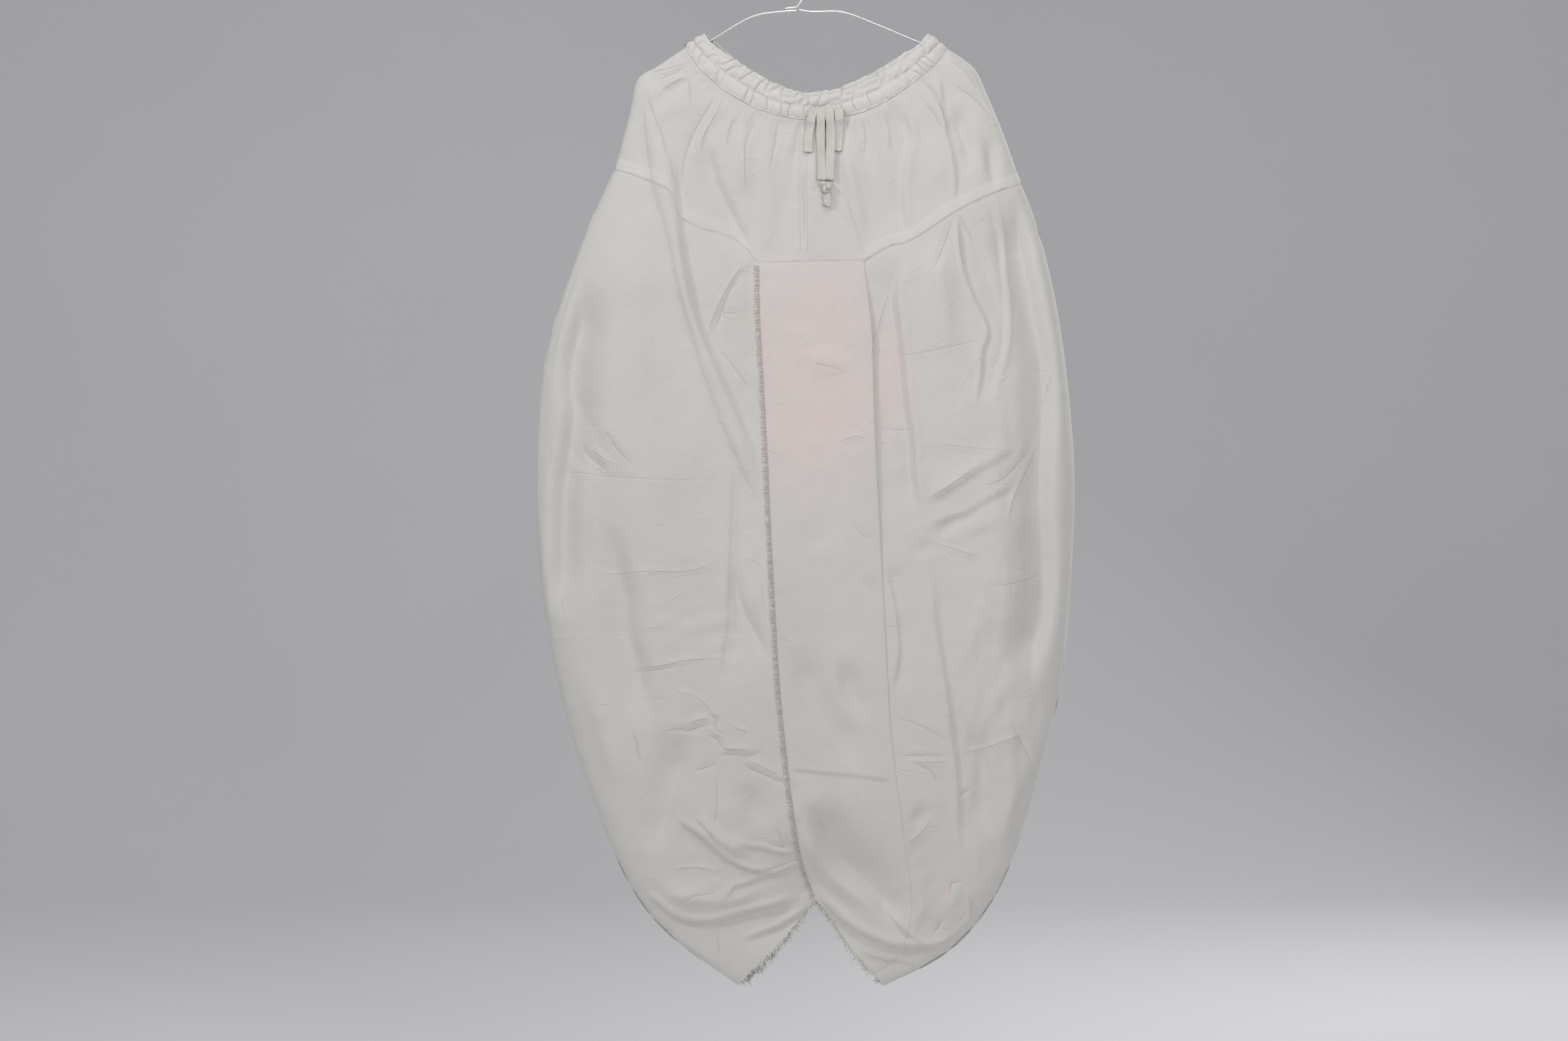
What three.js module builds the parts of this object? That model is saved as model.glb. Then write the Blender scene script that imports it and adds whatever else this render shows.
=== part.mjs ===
// A dhoti salwar hung by its gathered waist over a wire hanger.
// Millimetres, +Z up, the front of the garment faces -Y. The origin is the point under the
// top of the hanger's hook, where it hangs on a rail.
//
// The cloth is a flattened balloon. Each piece is a closed wall: a patch between four seam or
// edge curves of the front view gives its x and z, the depth rule gives its y, and the fold
// table raises it. Left and right are the viewer's.
import * as THREE from 'three';

// ---- driving sizes ---------------------------------------------------------------------

const WALL = 1.8;             // cloth wall
const SEAM_GAP = 0.5;         // between two pieces at a seam
const BAND_GAP = 1.1;         // between the band and the yokes, whose edges curve differently
const WIRE_RADIUS = 1.1;      // hanger wire
const WIRE_SEAT = WALL + 1.1 + WIRE_RADIUS;   // from the outline in to the wire under it
const MIN_HALF_DEPTH = WALL + 0.5;   // where the front and back layers meet at the crotch
const GATHERS_PER_SIDE = 42;  // gathers of the waistband across its front, and across its back
const GATHER_HEIGHT = 2.4;    // how far a gather stands out of the band
const GATHER_SLANT = 0.35;    // of a gather's pitch, from the band's top edge to its foot
const GATHER_UNEVEN = { share: 0.25, alongBand: 61, acrossBand: 9 };   // of their heights
const TIER_BULGE = 1.6;       // how far each tier of the band swells between its stitch rows
const BAND_COLUMNS = 4 * GATHERS_PER_SIDE;
const BAND_HEIGHT = 34;       // of both tiers together

const COTTON = { color: 0xb4b2ab, roughness: 0.9, metalness: 0 };
const TAPE = { color: 0xb8b4a6, roughness: 0.95, metalness: 0 };
const STEEL = { color: 0xc0c2c4, roughness: 0.3, metalness: 1 };

// ---- outline, seams and edges of the front view, as [x, z] -------------------------------

const NOTCH = [11, -1067];        // where both crotch seams end, between the legs
const LEFT_TIP = [-75, -1163];    // lowest corner of each ankle
const RIGHT_TIP = [88, -1163];
const BAND_LEFT = { top: [-112, -104.5], foot: [-134, -117.5] };   // the band on the wire
const BAND_RIGHT = { top: [135, -104.5], foot: [157, -118.5] };
const SIDE_LEFT = [-213, -254];   // side end of the yoke seam
const SIDE_RIGHT = [240, -270];
const PANEL_TOP_LEFT = [-52, -361];
const PANEL_TOP_RIGHT = [64, -358];
const PANEL_FOOT_RIGHT = [77, -1149];
const BAND_FOOT_CENTRE = [0, -201];
const BACK_YOKE_FOOT = [5, -372];    // centre back, where both yokes and both legs meet

const LINES = {
  sideYokeLeft: [BAND_LEFT.foot, [-166, -139], [-182, -148], [-190, -160], [-196, -190], SIDE_LEFT],
  sideLegLeft: [SIDE_LEFT, [-243, -320], [-281, -429], [-298, -530], [-299, -660], [-287, -767],
    [-264, -872], [-227, -981], [-193, -1055], [-151, -1107], LEFT_TIP],
  sideYokeRight: [BAND_RIGHT.foot, [176, -131], [190, -144], [202, -170], [220, -213], SIDE_RIGHT],
  sideLegRight: [SIDE_RIGHT, [261, -327], [282, -420], [296, -535], [299, -640], [288, -800],
    [269, -894], [238, -1000], [206, -1071], [158, -1125], RIGHT_TIP],
  bandTop: [BAND_LEFT.top, [-105, -114], [-78, -134], [-41, -157], [-4, -170], [30, -167],
    [64, -153], [106, -129], [128, -113], BAND_RIGHT.top],
  bandFootLeft: [BAND_LEFT.foot, [-124, -135], [-100, -160], [-67, -182], [-35, -195],
    BAND_FOOT_CENTRE],
  bandFootRight: [BAND_FOOT_CENTRE, [45, -197], [84, -183], [119, -159], [146, -136],
    BAND_RIGHT.foot],
  yokeFootLeft: [SIDE_LEFT, [-185, -264], [-150, -281], [-140, -307], [-116, -321], [-78, -334],
    PANEL_TOP_LEFT],
  yokeFootCentre: [PANEL_TOP_LEFT, [0, -359], PANEL_TOP_RIGHT],
  yokeFootRight: [PANEL_TOP_RIGHT, [92, -342], [117, -335], [166, -303], [206, -283], SIDE_RIGHT],
  centreFront: [BAND_FOOT_CENTRE, [-1, -280], [0, -359]],
  crotchFront: [PANEL_TOP_LEFT, [-51, -420], [-43, -568], [-37, -695], [-27, -853],
    [-8, -1005], NOTCH],
  panelRight: [PANEL_TOP_RIGHT, [73, -440], [76, -543], [85, -720], [94, -876], [107, -983],
    [117, -1073], [104, -1128], PANEL_FOOT_RIGHT],
  hemLeftFront: [LEFT_TIP, [-62, -1146], [-30, -1115], [-2, -1083], NOTCH],
  hemLeftBack: [LEFT_TIP, [-53, -1149], [-28, -1121], [-7, -1094], NOTCH],
  hemPanel: [NOTCH, [30, -1091], [53, -1123], PANEL_FOOT_RIGHT],
  hemLegRight: [PANEL_FOOT_RIGHT, [82, -1156], RIGHT_TIP],
  hemRightBack: [NOTCH, [32, -1091], [60, -1130], RIGHT_TIP],
  bandTopBack: [BAND_LEFT.top, [-100, -109], [-78, -129], [-41, -152], [-4, -165], [30, -162],
    [64, -149], [106, -125], [131, -109], BAND_RIGHT.top],
  yokeFootBackLeft: [SIDE_LEFT, [-150, -296], [-75, -340], BACK_YOKE_FOOT],
  yokeFootBackRight: [BACK_YOKE_FOOT, [85, -345], [165, -310], SIDE_RIGHT],
  centreBack: [BAND_FOOT_CENTRE, [2, -280], BACK_YOKE_FOOT],
  crotchBack: [BACK_YOKE_FOOT, [7, -560], [10, -800], NOTCH],
  bandFoldLeft: [BAND_LEFT.top, [-119, -106], BAND_LEFT.foot],
  bandFoldRight: [BAND_RIGHT.top, [142, -107], BAND_RIGHT.foot],
};

// Half of the garment's depth by height, and how far in from the outline it takes to round
// up to it.
const DEPTHS = [
  { z: -100, half: 11, round: 32 },
  { z: -150, half: 14, round: 46 },
  { z: -200, half: 17, round: 58 },
  { z: -270, half: 22, round: 68 },
  { z: -400, half: 30, round: 78 },
  { z: -600, half: 36, round: 84 },
  { z: -800, half: 36, round: 84 },
  { z: -950, half: 31, round: 72 },
  { z: -1050, half: 23, round: 52 },
  { z: -1110, half: 16, round: 40 },
  { z: -1165, half: 11, round: 30 },
];
const CROTCH_PINCH = 52;      // reach of the narrowing towards the notch

// ---- folds -----------------------------------------------------------------------------
// Each fold is a soft ridge, or with a negative height a trough, along a path of the front
// view. left and right are its half-widths to either side of a path that runs down; on a path
// that runs to the right they are its lower and upper half-widths. fade is how far its height
// takes to grow from each end.

const FRONT_FOLDS = [
  { name: 'left roll, its crease', height: -6, left: 12, right: 6, fade: 60,
    path: [[-178, -165], [-168, -255], [-150, -330], [-134, -410], [-104, -503], [-52, -610]] },
  { name: 'left roll, its crown', height: 12, left: 9, right: 20, fade: 60,
    path: [[-160, -195], [-150, -270], [-139, -351], [-118, -430], [-86, -503], [-46, -590]] },
  { name: 'side overlap', height: 6, left: 7, right: 22, fade: 50,
    path: [[-222, -285], [-250, -355], [-273, -438], [-288, -500]] },
  { name: 'left side trough', height: -5, left: 12, right: 16, fade: 70,
    path: [[-220, -290], [-234, -391], [-252, -500], [-263, -600], [-267, -760]] },
  { name: 'left middle trough', height: -5, left: 22, right: 14, fade: 70,
    path: [[-222, -580], [-219, -660], [-205, -740], [-178, -861]] },
  { name: 'left inner fold', height: 9, left: 26, right: 6, fade: 55,
    path: [[-84, -560], [-86, -642], [-89, -740], [-95, -860]] },
  { name: 'left cowl, lower', height: 10, left: 8, right: 20, fade: 35,
    path: [[-188, -1052], [-141, -1080], [-87, -1083], [-10, -1062]] },
  { name: 'left cowl, upper', height: 9, left: 7, right: 18, fade: 30,
    path: [[-145, -972], [-107, -1003], [-67, -1028], [-6, -1016]] },
  { name: 'left ankle fold', height: 5, left: 6, right: 12, fade: 25,
    path: [[-80, -1120], [-45, -1102], [-5, -1078]] },
  { name: 'yoke, left of centre', height: -5, left: 12, right: 8, fade: 40,
    path: [[-122, -215], [-90, -294], [-58, -354]] },
  { name: 'yoke, panel line', height: 4, left: 7, right: 14, fade: 40,
    path: [[-34, -212], [-40, -280], [-45, -356]] },
  { name: 'yoke, right of centre', height: 6, left: 9, right: 9, fade: 40,
    path: [[32, -225], [46, -284], [62, -348]] },
  { name: 'yoke, over the strip', height: 6, left: 10, right: 10, fade: 40,
    path: [[111, -181], [112, -252], [114, -325]] },
  { name: 'recessed strip, upper', height: -10, left: 22, right: 9, fade: 45,
    path: [[97, -355], [92, -440], [101, -540], [106, -640]] },
  { name: 'strip over the broad panel', height: 10, left: 26, right: 6, fade: 70,
    path: [[122, -640], [142, -770], [157, -900], [165, -1040]] },
  { name: 'pleat under the yoke', height: 11, left: 8, right: 12, fade: 35,
    path: [[166, -303], [180, -384], [196, -441], [188, -530]] },
  { name: 'second pleat', height: 9, left: 12, right: 7, fade: 35,
    path: [[209, -284], [222, -360], [220, -450], [200, -520]] },
  { name: 'right side trough', height: -5, left: 14, right: 12, fade: 60,
    path: [[236, -295], [258, -410], [265, -540], [259, -690]] },
  { name: 'right middle ridge', height: 6, left: 8, right: 12, fade: 30,
    path: [[127, -632], [165, -612], [235, -585]] },
  { name: 'right cowl', height: 12, left: 6, right: 20, fade: 25,
    path: [[22, -1062], [65, -1092], [119, -1113], [173, -1096], [208, -1058]] },
  { name: 'panel cowl', height: 7, left: 16, right: 10, fade: 40,
    path: [[-2, -962], [40, -1012], [88, -1052], [112, -1085]] },
  { name: 'panel step', height: 4, left: 12, right: 5, fade: 20,
    path: [[-12, -924], [40, -927], [92, -933]] },
];

const BACK_FOLDS = [
  { name: 'back left roll', height: 9, left: 16, right: 10, fade: 60,
    path: [[-150, -190], [-140, -320], [-110, -460], [-62, -610]] },
  { name: 'back right roll', height: 9, left: 10, right: 16, fade: 60,
    path: [[168, -190], [160, -320], [128, -460], [76, -620]] },
  { name: 'back left trough', height: -5, left: 16, right: 16, fade: 80,
    path: [[-205, -310], [-228, -480], [-225, -700], [-190, -880]] },
  { name: 'back right trough', height: -5, left: 16, right: 16, fade: 80,
    path: [[225, -320], [245, -500], [240, -700], [205, -880]] },
  { name: 'back left drop', height: 7, left: 12, right: 18, fade: 70,
    path: [[-60, -420], [-72, -600], [-84, -790]] },
  { name: 'back right drop', height: 7, left: 18, right: 12, fade: 70,
    path: [[80, -430], [96, -600], [104, -800]] },
  { name: 'back left cowl', height: 9, left: 9, right: 20, fade: 35,
    path: [[-175, -1040], [-120, -1068], [-60, -1066], [-8, -1046]] },
  { name: 'back right cowl', height: 9, left: 9, right: 20, fade: 35,
    path: [[24, -1048], [80, -1072], [140, -1072], [196, -1040]] },
  { name: 'back upper cowl', height: 7, left: 9, right: 18, fade: 45,
    path: [[-120, -960], [-50, -1000], [20, -1008], [90, -1000], [160, -960]] },
];

// Soft gathers that run down from the band and die out in the yoke.
const YOKE_GATHERS = { height: 2.6, pitch: 21, reach: 70 };
const EDGE_CALM = 22;         // how far in from the outline the folds take to grow
const BAND_CALM = 9;          // how far down from the band they take to grow
const SLOPE_STEP = 1.5;       // from a place to the two beside it that give its slope

// ---- small helpers -----------------------------------------------------------------------

const ARC_DIVISIONS = 400;    // of a curve, for its length
const OUTLINE_SPANS = 24;     // straight spans that stand for each curve of the outline,
const FOLD_SPANS = 16;        // for a fold's path,
const FOOT_SPANS = 20;        // for each half of the band's foot,
const LENGTH_SPANS = 40;      // for a curve whose length is measured,
const TAPE_SPANS = 10;        // and for a tape's path

const smooth = (t) => {
  const c = Math.min(1, Math.max(0, t));
  return c * c * (3 - 2 * c);
};

function curve(points) {
  const spline = new THREE.SplineCurve(points.map(([x, z]) => new THREE.Vector2(x, z)));
  spline.arcLengthDivisions = ARC_DIVISIONS;
  return (t) => spline.getPointAt(Math.min(1, Math.max(0, t)));
}

const CURVES = Object.fromEntries(
  Object.entries(LINES).map(([name, points]) => [name, curve(points)]));

function sampled(at, count) {
  return Array.from({ length: count + 1 }, (_, i) => at(i / count));
}

function depthRow(z) {
  let k = 0;
  while (k < DEPTHS.length - 2 && z < DEPTHS[k + 1].z) k += 1;
  const [a, b] = [DEPTHS[k], DEPTHS[k + 1]];
  const t = smooth((a.z - z) / (a.z - b.z));
  return { half: a.half + t * (b.half - a.half), round: a.round + t * (b.round - a.round) };
}

// Nearest point of a polyline: distance, side (+1 to the right of a path that runs down), and
// the length run along it.
function nearest(line, x, z) {
  let best = { distance: Infinity };
  let run = 0;
  for (let i = 0; i + 1 < line.length; i += 1) {
    const [a, b] = [line[i], line[i + 1]];
    const [dx, dz] = [b.x - a.x, b.y - a.y];
    const length = Math.hypot(dx, dz);
    const t = Math.min(1, Math.max(0, ((x - a.x) * dx + (z - a.y) * dz) / (length * length)));
    const [ex, ez] = [x - a.x - t * dx, z - a.y - t * dz];
    const distance = Math.hypot(ex, ez);
    if (distance < best.distance) {
      const side = Math.sign(dx * (z - a.y) - dz * (x - a.x)) || 1;
      best = { distance, side, away: [ex, ez], run: run + t * length };
    }
    run += length;
  }
  best.total = run;
  return best;
}

const OUTLINES = [
  ['bandFoldLeft', 'sideYokeLeft', 'sideLegLeft'],
  ['bandFoldRight', 'sideYokeRight', 'sideLegRight'],
].map((names) => names.flatMap((name) => sampled(CURVES[name], OUTLINE_SPANS)));

// ---- the form of the body ------------------------------------------------------------------

// Depth and outward direction of the garment's smooth form over a point of the front view.
// side is -1 for the front and +1 for the back.
function bodyAt(x, z, side) {
  const near = OUTLINES.map((line) => nearest(line, x, z))
    .reduce((a, b) => (a.distance < b.distance ? a : b));
  const { half, round } = depthRow(z);
  const angle = Math.acos(1 - Math.min(1, near.distance / round));
  const fromNotch = Math.hypot(x - NOTCH[0], z - NOTCH[1]);
  const pinch = 1 - Math.exp(-((fromNotch / CROTCH_PINCH) ** 2));
  const floor = MIN_HALF_DEPTH * Math.min(1, near.distance / (2 * MIN_HALF_DEPTH));
  const depth = Math.max(floor, half * Math.sin(angle) * pinch);
  const inPlane = half * Math.cos(angle);
  const outward = near.distance > 1e-6 ? near.away.map((e) => -e / near.distance) : [0, 0];
  const normal = new THREE.Vector3(
    inPlane * outward[0], side * round * Math.sin(angle), inPlane * outward[1]);
  return { depth, normal, edge: near.distance };
}

const foldLines = (folds) => folds.map(({ path, ...fold }) => (
  { ...fold, line: sampled(curve(path), FOLD_SPANS) }));
const FOLDS = { '-1': foldLines(FRONT_FOLDS), 1: foldLines(BACK_FOLDS) };

// How far the folds lift the cloth outward over a point of the front view.
function foldLift(x, z, side) {
  let lift = 0;
  for (const fold of FOLDS[side]) {
    const near = nearest(fold.line, x, z);
    const width = near.side > 0 ? fold.right : fold.left;
    const ends = smooth(near.run / fold.fade) * smooth((near.total - near.run) / fold.fade);
    lift += fold.height * ends * Math.exp(-((near.distance / width) ** 2));
  }
  return lift;
}

const BAND_FEET = [
  ...sampled(CURVES.bandFootLeft, FOOT_SPANS),
  ...sampled(CURVES.bandFootRight, FOOT_SPANS),
];

const gatherLift = (fromBand) => {
  const wave = Math.cos((2 * Math.PI * fromBand.run) / YOKE_GATHERS.pitch);
  return YOKE_GATHERS.height * wave * Math.exp(-fromBand.distance / YOKE_GATHERS.reach);
};

// All that lifts the cloth off its smooth form. It dies out at the outline, and at the band's
// foot, where the cloth is held.
function liftAt(x, z, side, edge) {
  const fromBand = nearest(BAND_FEET, x, z);
  const held = smooth(edge / EDGE_CALM) * smooth(fromBand.distance / BAND_CALM);
  return held * (foldLift(x, z, side) + gatherLift(fromBand));
}

// The outer and inner point of the cloth wall over a point of the front view. On the outline
// (side 0) both layers meet in the fold line.
function clothAt(x, z, side) {
  const layer = side || -1;
  const body = bodyAt(x, z, layer);
  const normal = body.normal;
  if (side === 0) normal.y = 0;
  normal.normalize();
  const lift = side === 0 ? 0 : liftAt(x, z, side, body.edge);
  const liftBy = (dx, dz) => liftAt(x + dx, z + dz, layer, body.edge);
  const slope = new THREE.Vector3(
    (liftBy(SLOPE_STEP, 0) - liftBy(-SLOPE_STEP, 0)) / (2 * SLOPE_STEP),
    0,
    (liftBy(0, SLOPE_STEP) - liftBy(0, -SLOPE_STEP)) / (2 * SLOPE_STEP));
  const tilted = normal.clone();
  if (side !== 0) tilted.sub(slope.addScaledVector(normal, -slope.dot(normal))).normalize();
  const outer = new THREE.Vector3(x, side * body.depth, z).addScaledVector(normal, lift);
  return { outer, inner: outer.clone().addScaledVector(tilted, -WALL) };
}

// ---- closed shells --------------------------------------------------------------------------

// A closed wall from a grid of { outer, inner } points. A ring joins its last column to its
// first and has rims only above and below.
function shell(name, grid, look, ring = false) {
  const columns = grid.length;
  const rows = grid[0].length;
  const points = [];
  for (const column of grid) for (const { outer } of column) points.push(outer);
  for (const column of grid) for (const { inner } of column) points.push(inner);
  const outer = (i, j) => (i % columns) * rows + j;
  const inner = (i, j) => columns * rows + outer(i, j);
  const index = [];
  const quad = (a, b, c, d) => index.push(a, b, c, a, c, d);
  const spans = ring ? columns : columns - 1;
  for (let i = 0; i < spans; i += 1) {
    for (let j = 0; j + 1 < rows; j += 1) {
      quad(outer(i, j), outer(i, j + 1), outer(i + 1, j + 1), outer(i + 1, j));
      quad(inner(i, j), inner(i + 1, j), inner(i + 1, j + 1), inner(i, j + 1));
    }
    quad(outer(i, 0), outer(i + 1, 0), inner(i + 1, 0), inner(i, 0));
    quad(outer(i, rows - 1), inner(i, rows - 1), inner(i + 1, rows - 1), outer(i + 1, rows - 1));
  }
  if (!ring) {
    for (let j = 0; j + 1 < rows; j += 1) {
      const last = columns - 1;
      quad(outer(0, j), inner(0, j), inner(0, j + 1), outer(0, j + 1));
      quad(outer(last, j), outer(last, j + 1), inner(last, j + 1), inner(last, j));
    }
  }
  const geometry = new THREE.BufferGeometry().setFromPoints(points);
  geometry.setIndex(index);
  return mesh(name, geometry, look);
}

function mesh(name, geometry, look) {
  geometry.computeVertexNormals();
  const made = new THREE.Mesh(geometry, new THREE.MeshStandardMaterial(look));
  made.name = name;
  return made;
}

// A Coons patch between four curves: start and end run down the piece, head and foot run
// across it from start to end.
function patch({ head, foot, start, end }) {
  const corner = { a: head(0), b: head(1), c: foot(0), d: foot(1) };
  return (u, v) => {
    const mix = (p, q, t) => p.clone().lerp(q, t);
    const across = mix(head(u), foot(u), v);
    const down = mix(start(v), end(v), u);
    const flat = mix(mix(corner.a, corner.b, u), mix(corner.c, corner.d, u), v);
    return across.add(down).sub(flat);
  };
}

const reversed = (at) => (t) => at(1 - t);

// Keeps a share of a run of the given length clear of the seams, by the gap at each end.
function clearOf(share, length, startGap, endGap) {
  const low = startGap / 2 / length;
  const high = 1 - endGap / 2 / length;
  return low + share * (high - low);
}

// A piece that runs from its front seam, round the side fold, to its back seam. Both patches
// start at the side fold, and frontShares and backShares give the columns across them.
function sidePiece(name, { front, back, frontShares, backShares, rows, headGap, footGap, flip }) {
  const [frontPatch, backPatch] = [patch(front), patch(back)];
  const width = frontPatch(0, 0.5).distanceTo(frontPatch(1, 0.5));
  const height = frontPatch(0.5, 0).distanceTo(frontPatch(0.5, 1));
  const column = (at, u, side) => rows.map((share) => {
    const point = at(clearOf(u, width, 0, SEAM_GAP), clearOf(share, height, headGap, footGap));
    return clothAt(point.x, point.y, side);
  });
  const grid = [
    ...backShares.slice(1).reverse().map((u) => column(backPatch, u, 1)),
    column(frontPatch, 0, 0),
    ...frontShares.slice(1).map((u) => column(frontPatch, u, -1)),
  ];
  return shell(name, flip ? grid.reverse() : grid, COTTON);
}

// ---- columns and rows -----------------------------------------------------------------------

const evenly = (count) => Array.from({ length: count + 1 }, (_, i) => i / count);

// Columns of a leg, closer where the cloth rounds over the outline.
const LEG_FRONT = evenly(15).map((share) => share ** 1.25);
const LEG_BACK = evenly(10).map((share) => share ** 1.5);

// The centre-front seam lies at this share of the centre panel's head.
const CENTRE_SHARE = 0.448;
const PANEL_COLUMNS = [
  ...evenly(4).map((share) => share * CENTRE_SHARE),
  ...evenly(4).slice(1).map((share) => CENTRE_SHARE + share * (1 - CENTRE_SHARE)),
];

// A yoke's foot carries its leg and then half of the centre panel. Its columns go on from
// theirs, so that the seam's points lie face to face.
const LEG_PART = 0.76;
const YOKE_FRONT = [
  ...LEG_FRONT.map((share) => share * LEG_PART),
  ...evenly(4).slice(1).map((share) => LEG_PART + share * (1 - LEG_PART)),
];
const inTwo = (first, second) => (t) => (
  t < LEG_PART ? first(t / LEG_PART) : second((t - LEG_PART) / (1 - LEG_PART)));

// Rows of the legs: closer towards the ankles, where the cowl folds lie.
const LEG_ROWS = evenly(30).map((share) => share + 0.1 * Math.sin(Math.PI * share));
const YOKE_ROWS = evenly(9).map((share) => share ** 1.2);

// ---- the sewn pieces ------------------------------------------------------------------------

function makeYokes() {
  const C = CURVES;
  const shared = {
    frontShares: YOKE_FRONT,
    backShares: LEG_BACK,
    rows: YOKE_ROWS,
    headGap: BAND_GAP,
    footGap: SEAM_GAP,
  };
  const footLeft = inTwo(C.yokeFootLeft, (t) => C.yokeFootCentre(t * CENTRE_SHARE));
  const footRight = inTwo(
    reversed(C.yokeFootRight), (t) => C.yokeFootCentre(1 - t * (1 - CENTRE_SHARE)));
  return [
    sidePiece('yoke_left', {
      ...shared,
      front: { head: C.bandFootLeft, foot: footLeft, start: C.sideYokeLeft, end: C.centreFront },
      back: {
        head: C.bandFootLeft, foot: C.yokeFootBackLeft, start: C.sideYokeLeft, end: C.centreBack },
    }),
    sidePiece('yoke_right', {
      ...shared,
      flip: true,
      front: {
        head: reversed(C.bandFootRight), foot: footRight, start: C.sideYokeRight,
        end: C.centreFront },
      back: {
        head: reversed(C.bandFootRight), foot: reversed(C.yokeFootBackRight),
        start: C.sideYokeRight, end: C.centreBack },
    }),
  ];
}

function makeLegs() {
  const C = CURVES;
  const shared = {
    frontShares: LEG_FRONT,
    backShares: LEG_BACK,
    rows: LEG_ROWS,
    headGap: SEAM_GAP,
    footGap: 0,
  };
  return [
    sidePiece('leg_left', {
      ...shared,
      front: { head: C.yokeFootLeft, foot: C.hemLeftFront, start: C.sideLegLeft, end: C.crotchFront },
      back: {
        head: C.yokeFootBackLeft, foot: C.hemLeftBack, start: C.sideLegLeft, end: C.crotchBack },
    }),
    sidePiece('leg_right', {
      ...shared,
      flip: true,
      front: {
        head: reversed(C.yokeFootRight), foot: reversed(C.hemLegRight), start: C.sideLegRight,
        end: C.panelRight },
      back: {
        head: reversed(C.yokeFootBackRight), foot: reversed(C.hemRightBack),
        start: C.sideLegRight, end: C.crotchBack },
    }),
  ];
}

function makePanel() {
  const C = CURVES;
  const at = patch({
    head: C.yokeFootCentre, foot: C.hemPanel, start: C.crotchFront, end: C.panelRight });
  const width = PANEL_TOP_RIGHT[0] - PANEL_TOP_LEFT[0];
  const height = PANEL_TOP_LEFT[1] - NOTCH[1];
  const grid = PANEL_COLUMNS.map((u) => LEG_ROWS.map((share) => {
    const point = at(
      clearOf(u, width, SEAM_GAP, SEAM_GAP), clearOf(share, height, SEAM_GAP, 0));
    return clothAt(point.x, point.y, -1);
  }));
  return shell('centre_panel', grid, COTTON);
}

// ---- the waistband --------------------------------------------------------------------------

// Rows of the band from its top edge to its foot: two tiers with a stitch row between them.
const BAND_ROWS = [
  { share: 0, swell: 0.45 },
  { share: 0.24, swell: 1 },
  { share: 0.48, swell: 0.1 },
  { share: 0.74, swell: 1 },
  { share: 1, swell: 0.25 },
];

function joined(...parts) {
  const lengths = parts.map((at) => {
    const points = sampled(at, LENGTH_SPANS);
    return points.slice(1).reduce((sum, p, i) => sum + p.distanceTo(points[i]), 0);
  });
  const share = lengths[0] / (lengths[0] + lengths[1]);
  return (t) => (t < share ? parts[0](t / share) : parts[1]((t - share) / (1 - share)));
}

// A column's place round the band: shares 0 to 1 run over the front from the left fold to the
// right one, and 1 to 2 return over the back.
function bandAt(turn, { share, swell }) {
  const front = turn <= 1;
  const u = front ? turn : 2 - turn;
  const C = CURVES;
  const foot = joined(C.bandFootLeft, C.bandFootRight);
  const at = patch({
    head: front ? C.bandTop : C.bandTopBack, foot, start: C.bandFoldLeft, end: C.bandFoldRight });
  const point = at(u, clearOf(share, BAND_HEIGHT, 0, SEAM_GAP));
  const onFold = u === 0 || u === 1;
  const side = front ? -1 : 1;
  const body = bodyAt(point.x, point.y, side);
  if (onFold) body.normal.y = 0;
  const normal = body.normal.normalize();
  const base = new THREE.Vector3(point.x, onFold ? 0 : side * body.depth, point.y);
  const { share: change, alongBand, acrossBand } = GATHER_UNEVEN;
  const uneven = 1 - change + change * Math.sin(turn * alongBand + share * acrossBand);
  const phase = 2 * Math.PI * (GATHERS_PER_SIDE * turn + GATHER_SLANT * share);
  const gather = 0.5 + 0.5 * Math.cos(phase);
  const raised = swell * (TIER_BULGE + GATHER_HEIGHT * gather * uneven);
  return {
    outer: base.clone().addScaledVector(normal, raised),
    inner: base.addScaledVector(normal, -WALL),
  };
}

function makeWaistband() {
  const grid = Array.from({ length: BAND_COLUMNS }, (_, i) => (
    BAND_ROWS.map((row) => bandAt((2 * i) / BAND_COLUMNS, row))));
  return shell('waistband', grid, COTTON, true);
}

// ---- the drawstring -------------------------------------------------------------------------

// Each tape leaves the band's lower tier and hangs in front of the yoke. A path's third value
// is how far its middle stands off the highest cloth behind it. At the band it starts just
// under the crests of the gathers.
const TAPES = [
  { name: 'drawstring_left', width: 8, thick: 2.2,
    path: [[17, -188, -0.2], [14, -206, 4], [13, -225, 4], [14, -247, 4], [17, -268.9, 5.6]] },
  { name: 'drawstring_right', width: 8, thick: 2.2,
    path: [[25.5, -188, -0.2], [27, -197, 5], [30, -208, 7], [32, -225, 7], [29.5, -245, 5],
      [26, -268.9, 5.6]] },
  { name: 'drawstring_loop', width: 8, thick: 2.2,
    path: [[36.5, -188, -0.2], [37, -204, 4], [36, -222, 3.6], [34.5, -236, 3.4]] },
  { name: 'drawstring_short', width: 8, thick: 2.2,
    path: [[8, -188, -0.2], [5, -206, 4], [3, -222, 4], [3, -237, 4]] },
  { name: 'drawstring_tail', width: 7, thick: 2.4,
    path: [[22, -284, 6.4], [24, -291, 6.4], [22.5, -297, 6.4]] },
];
const TAPE_SECTION = [
  { across: -1, out: 0 }, { across: -0.6, out: 1 }, { across: 0.6, out: 1 },
  { across: 1, out: 0 }, { across: 0.6, out: -1 }, { across: -0.6, out: -1 },
];
const NEAR_BAND = 4;          // how near the band its gathers still stand in front of the yoke

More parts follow.
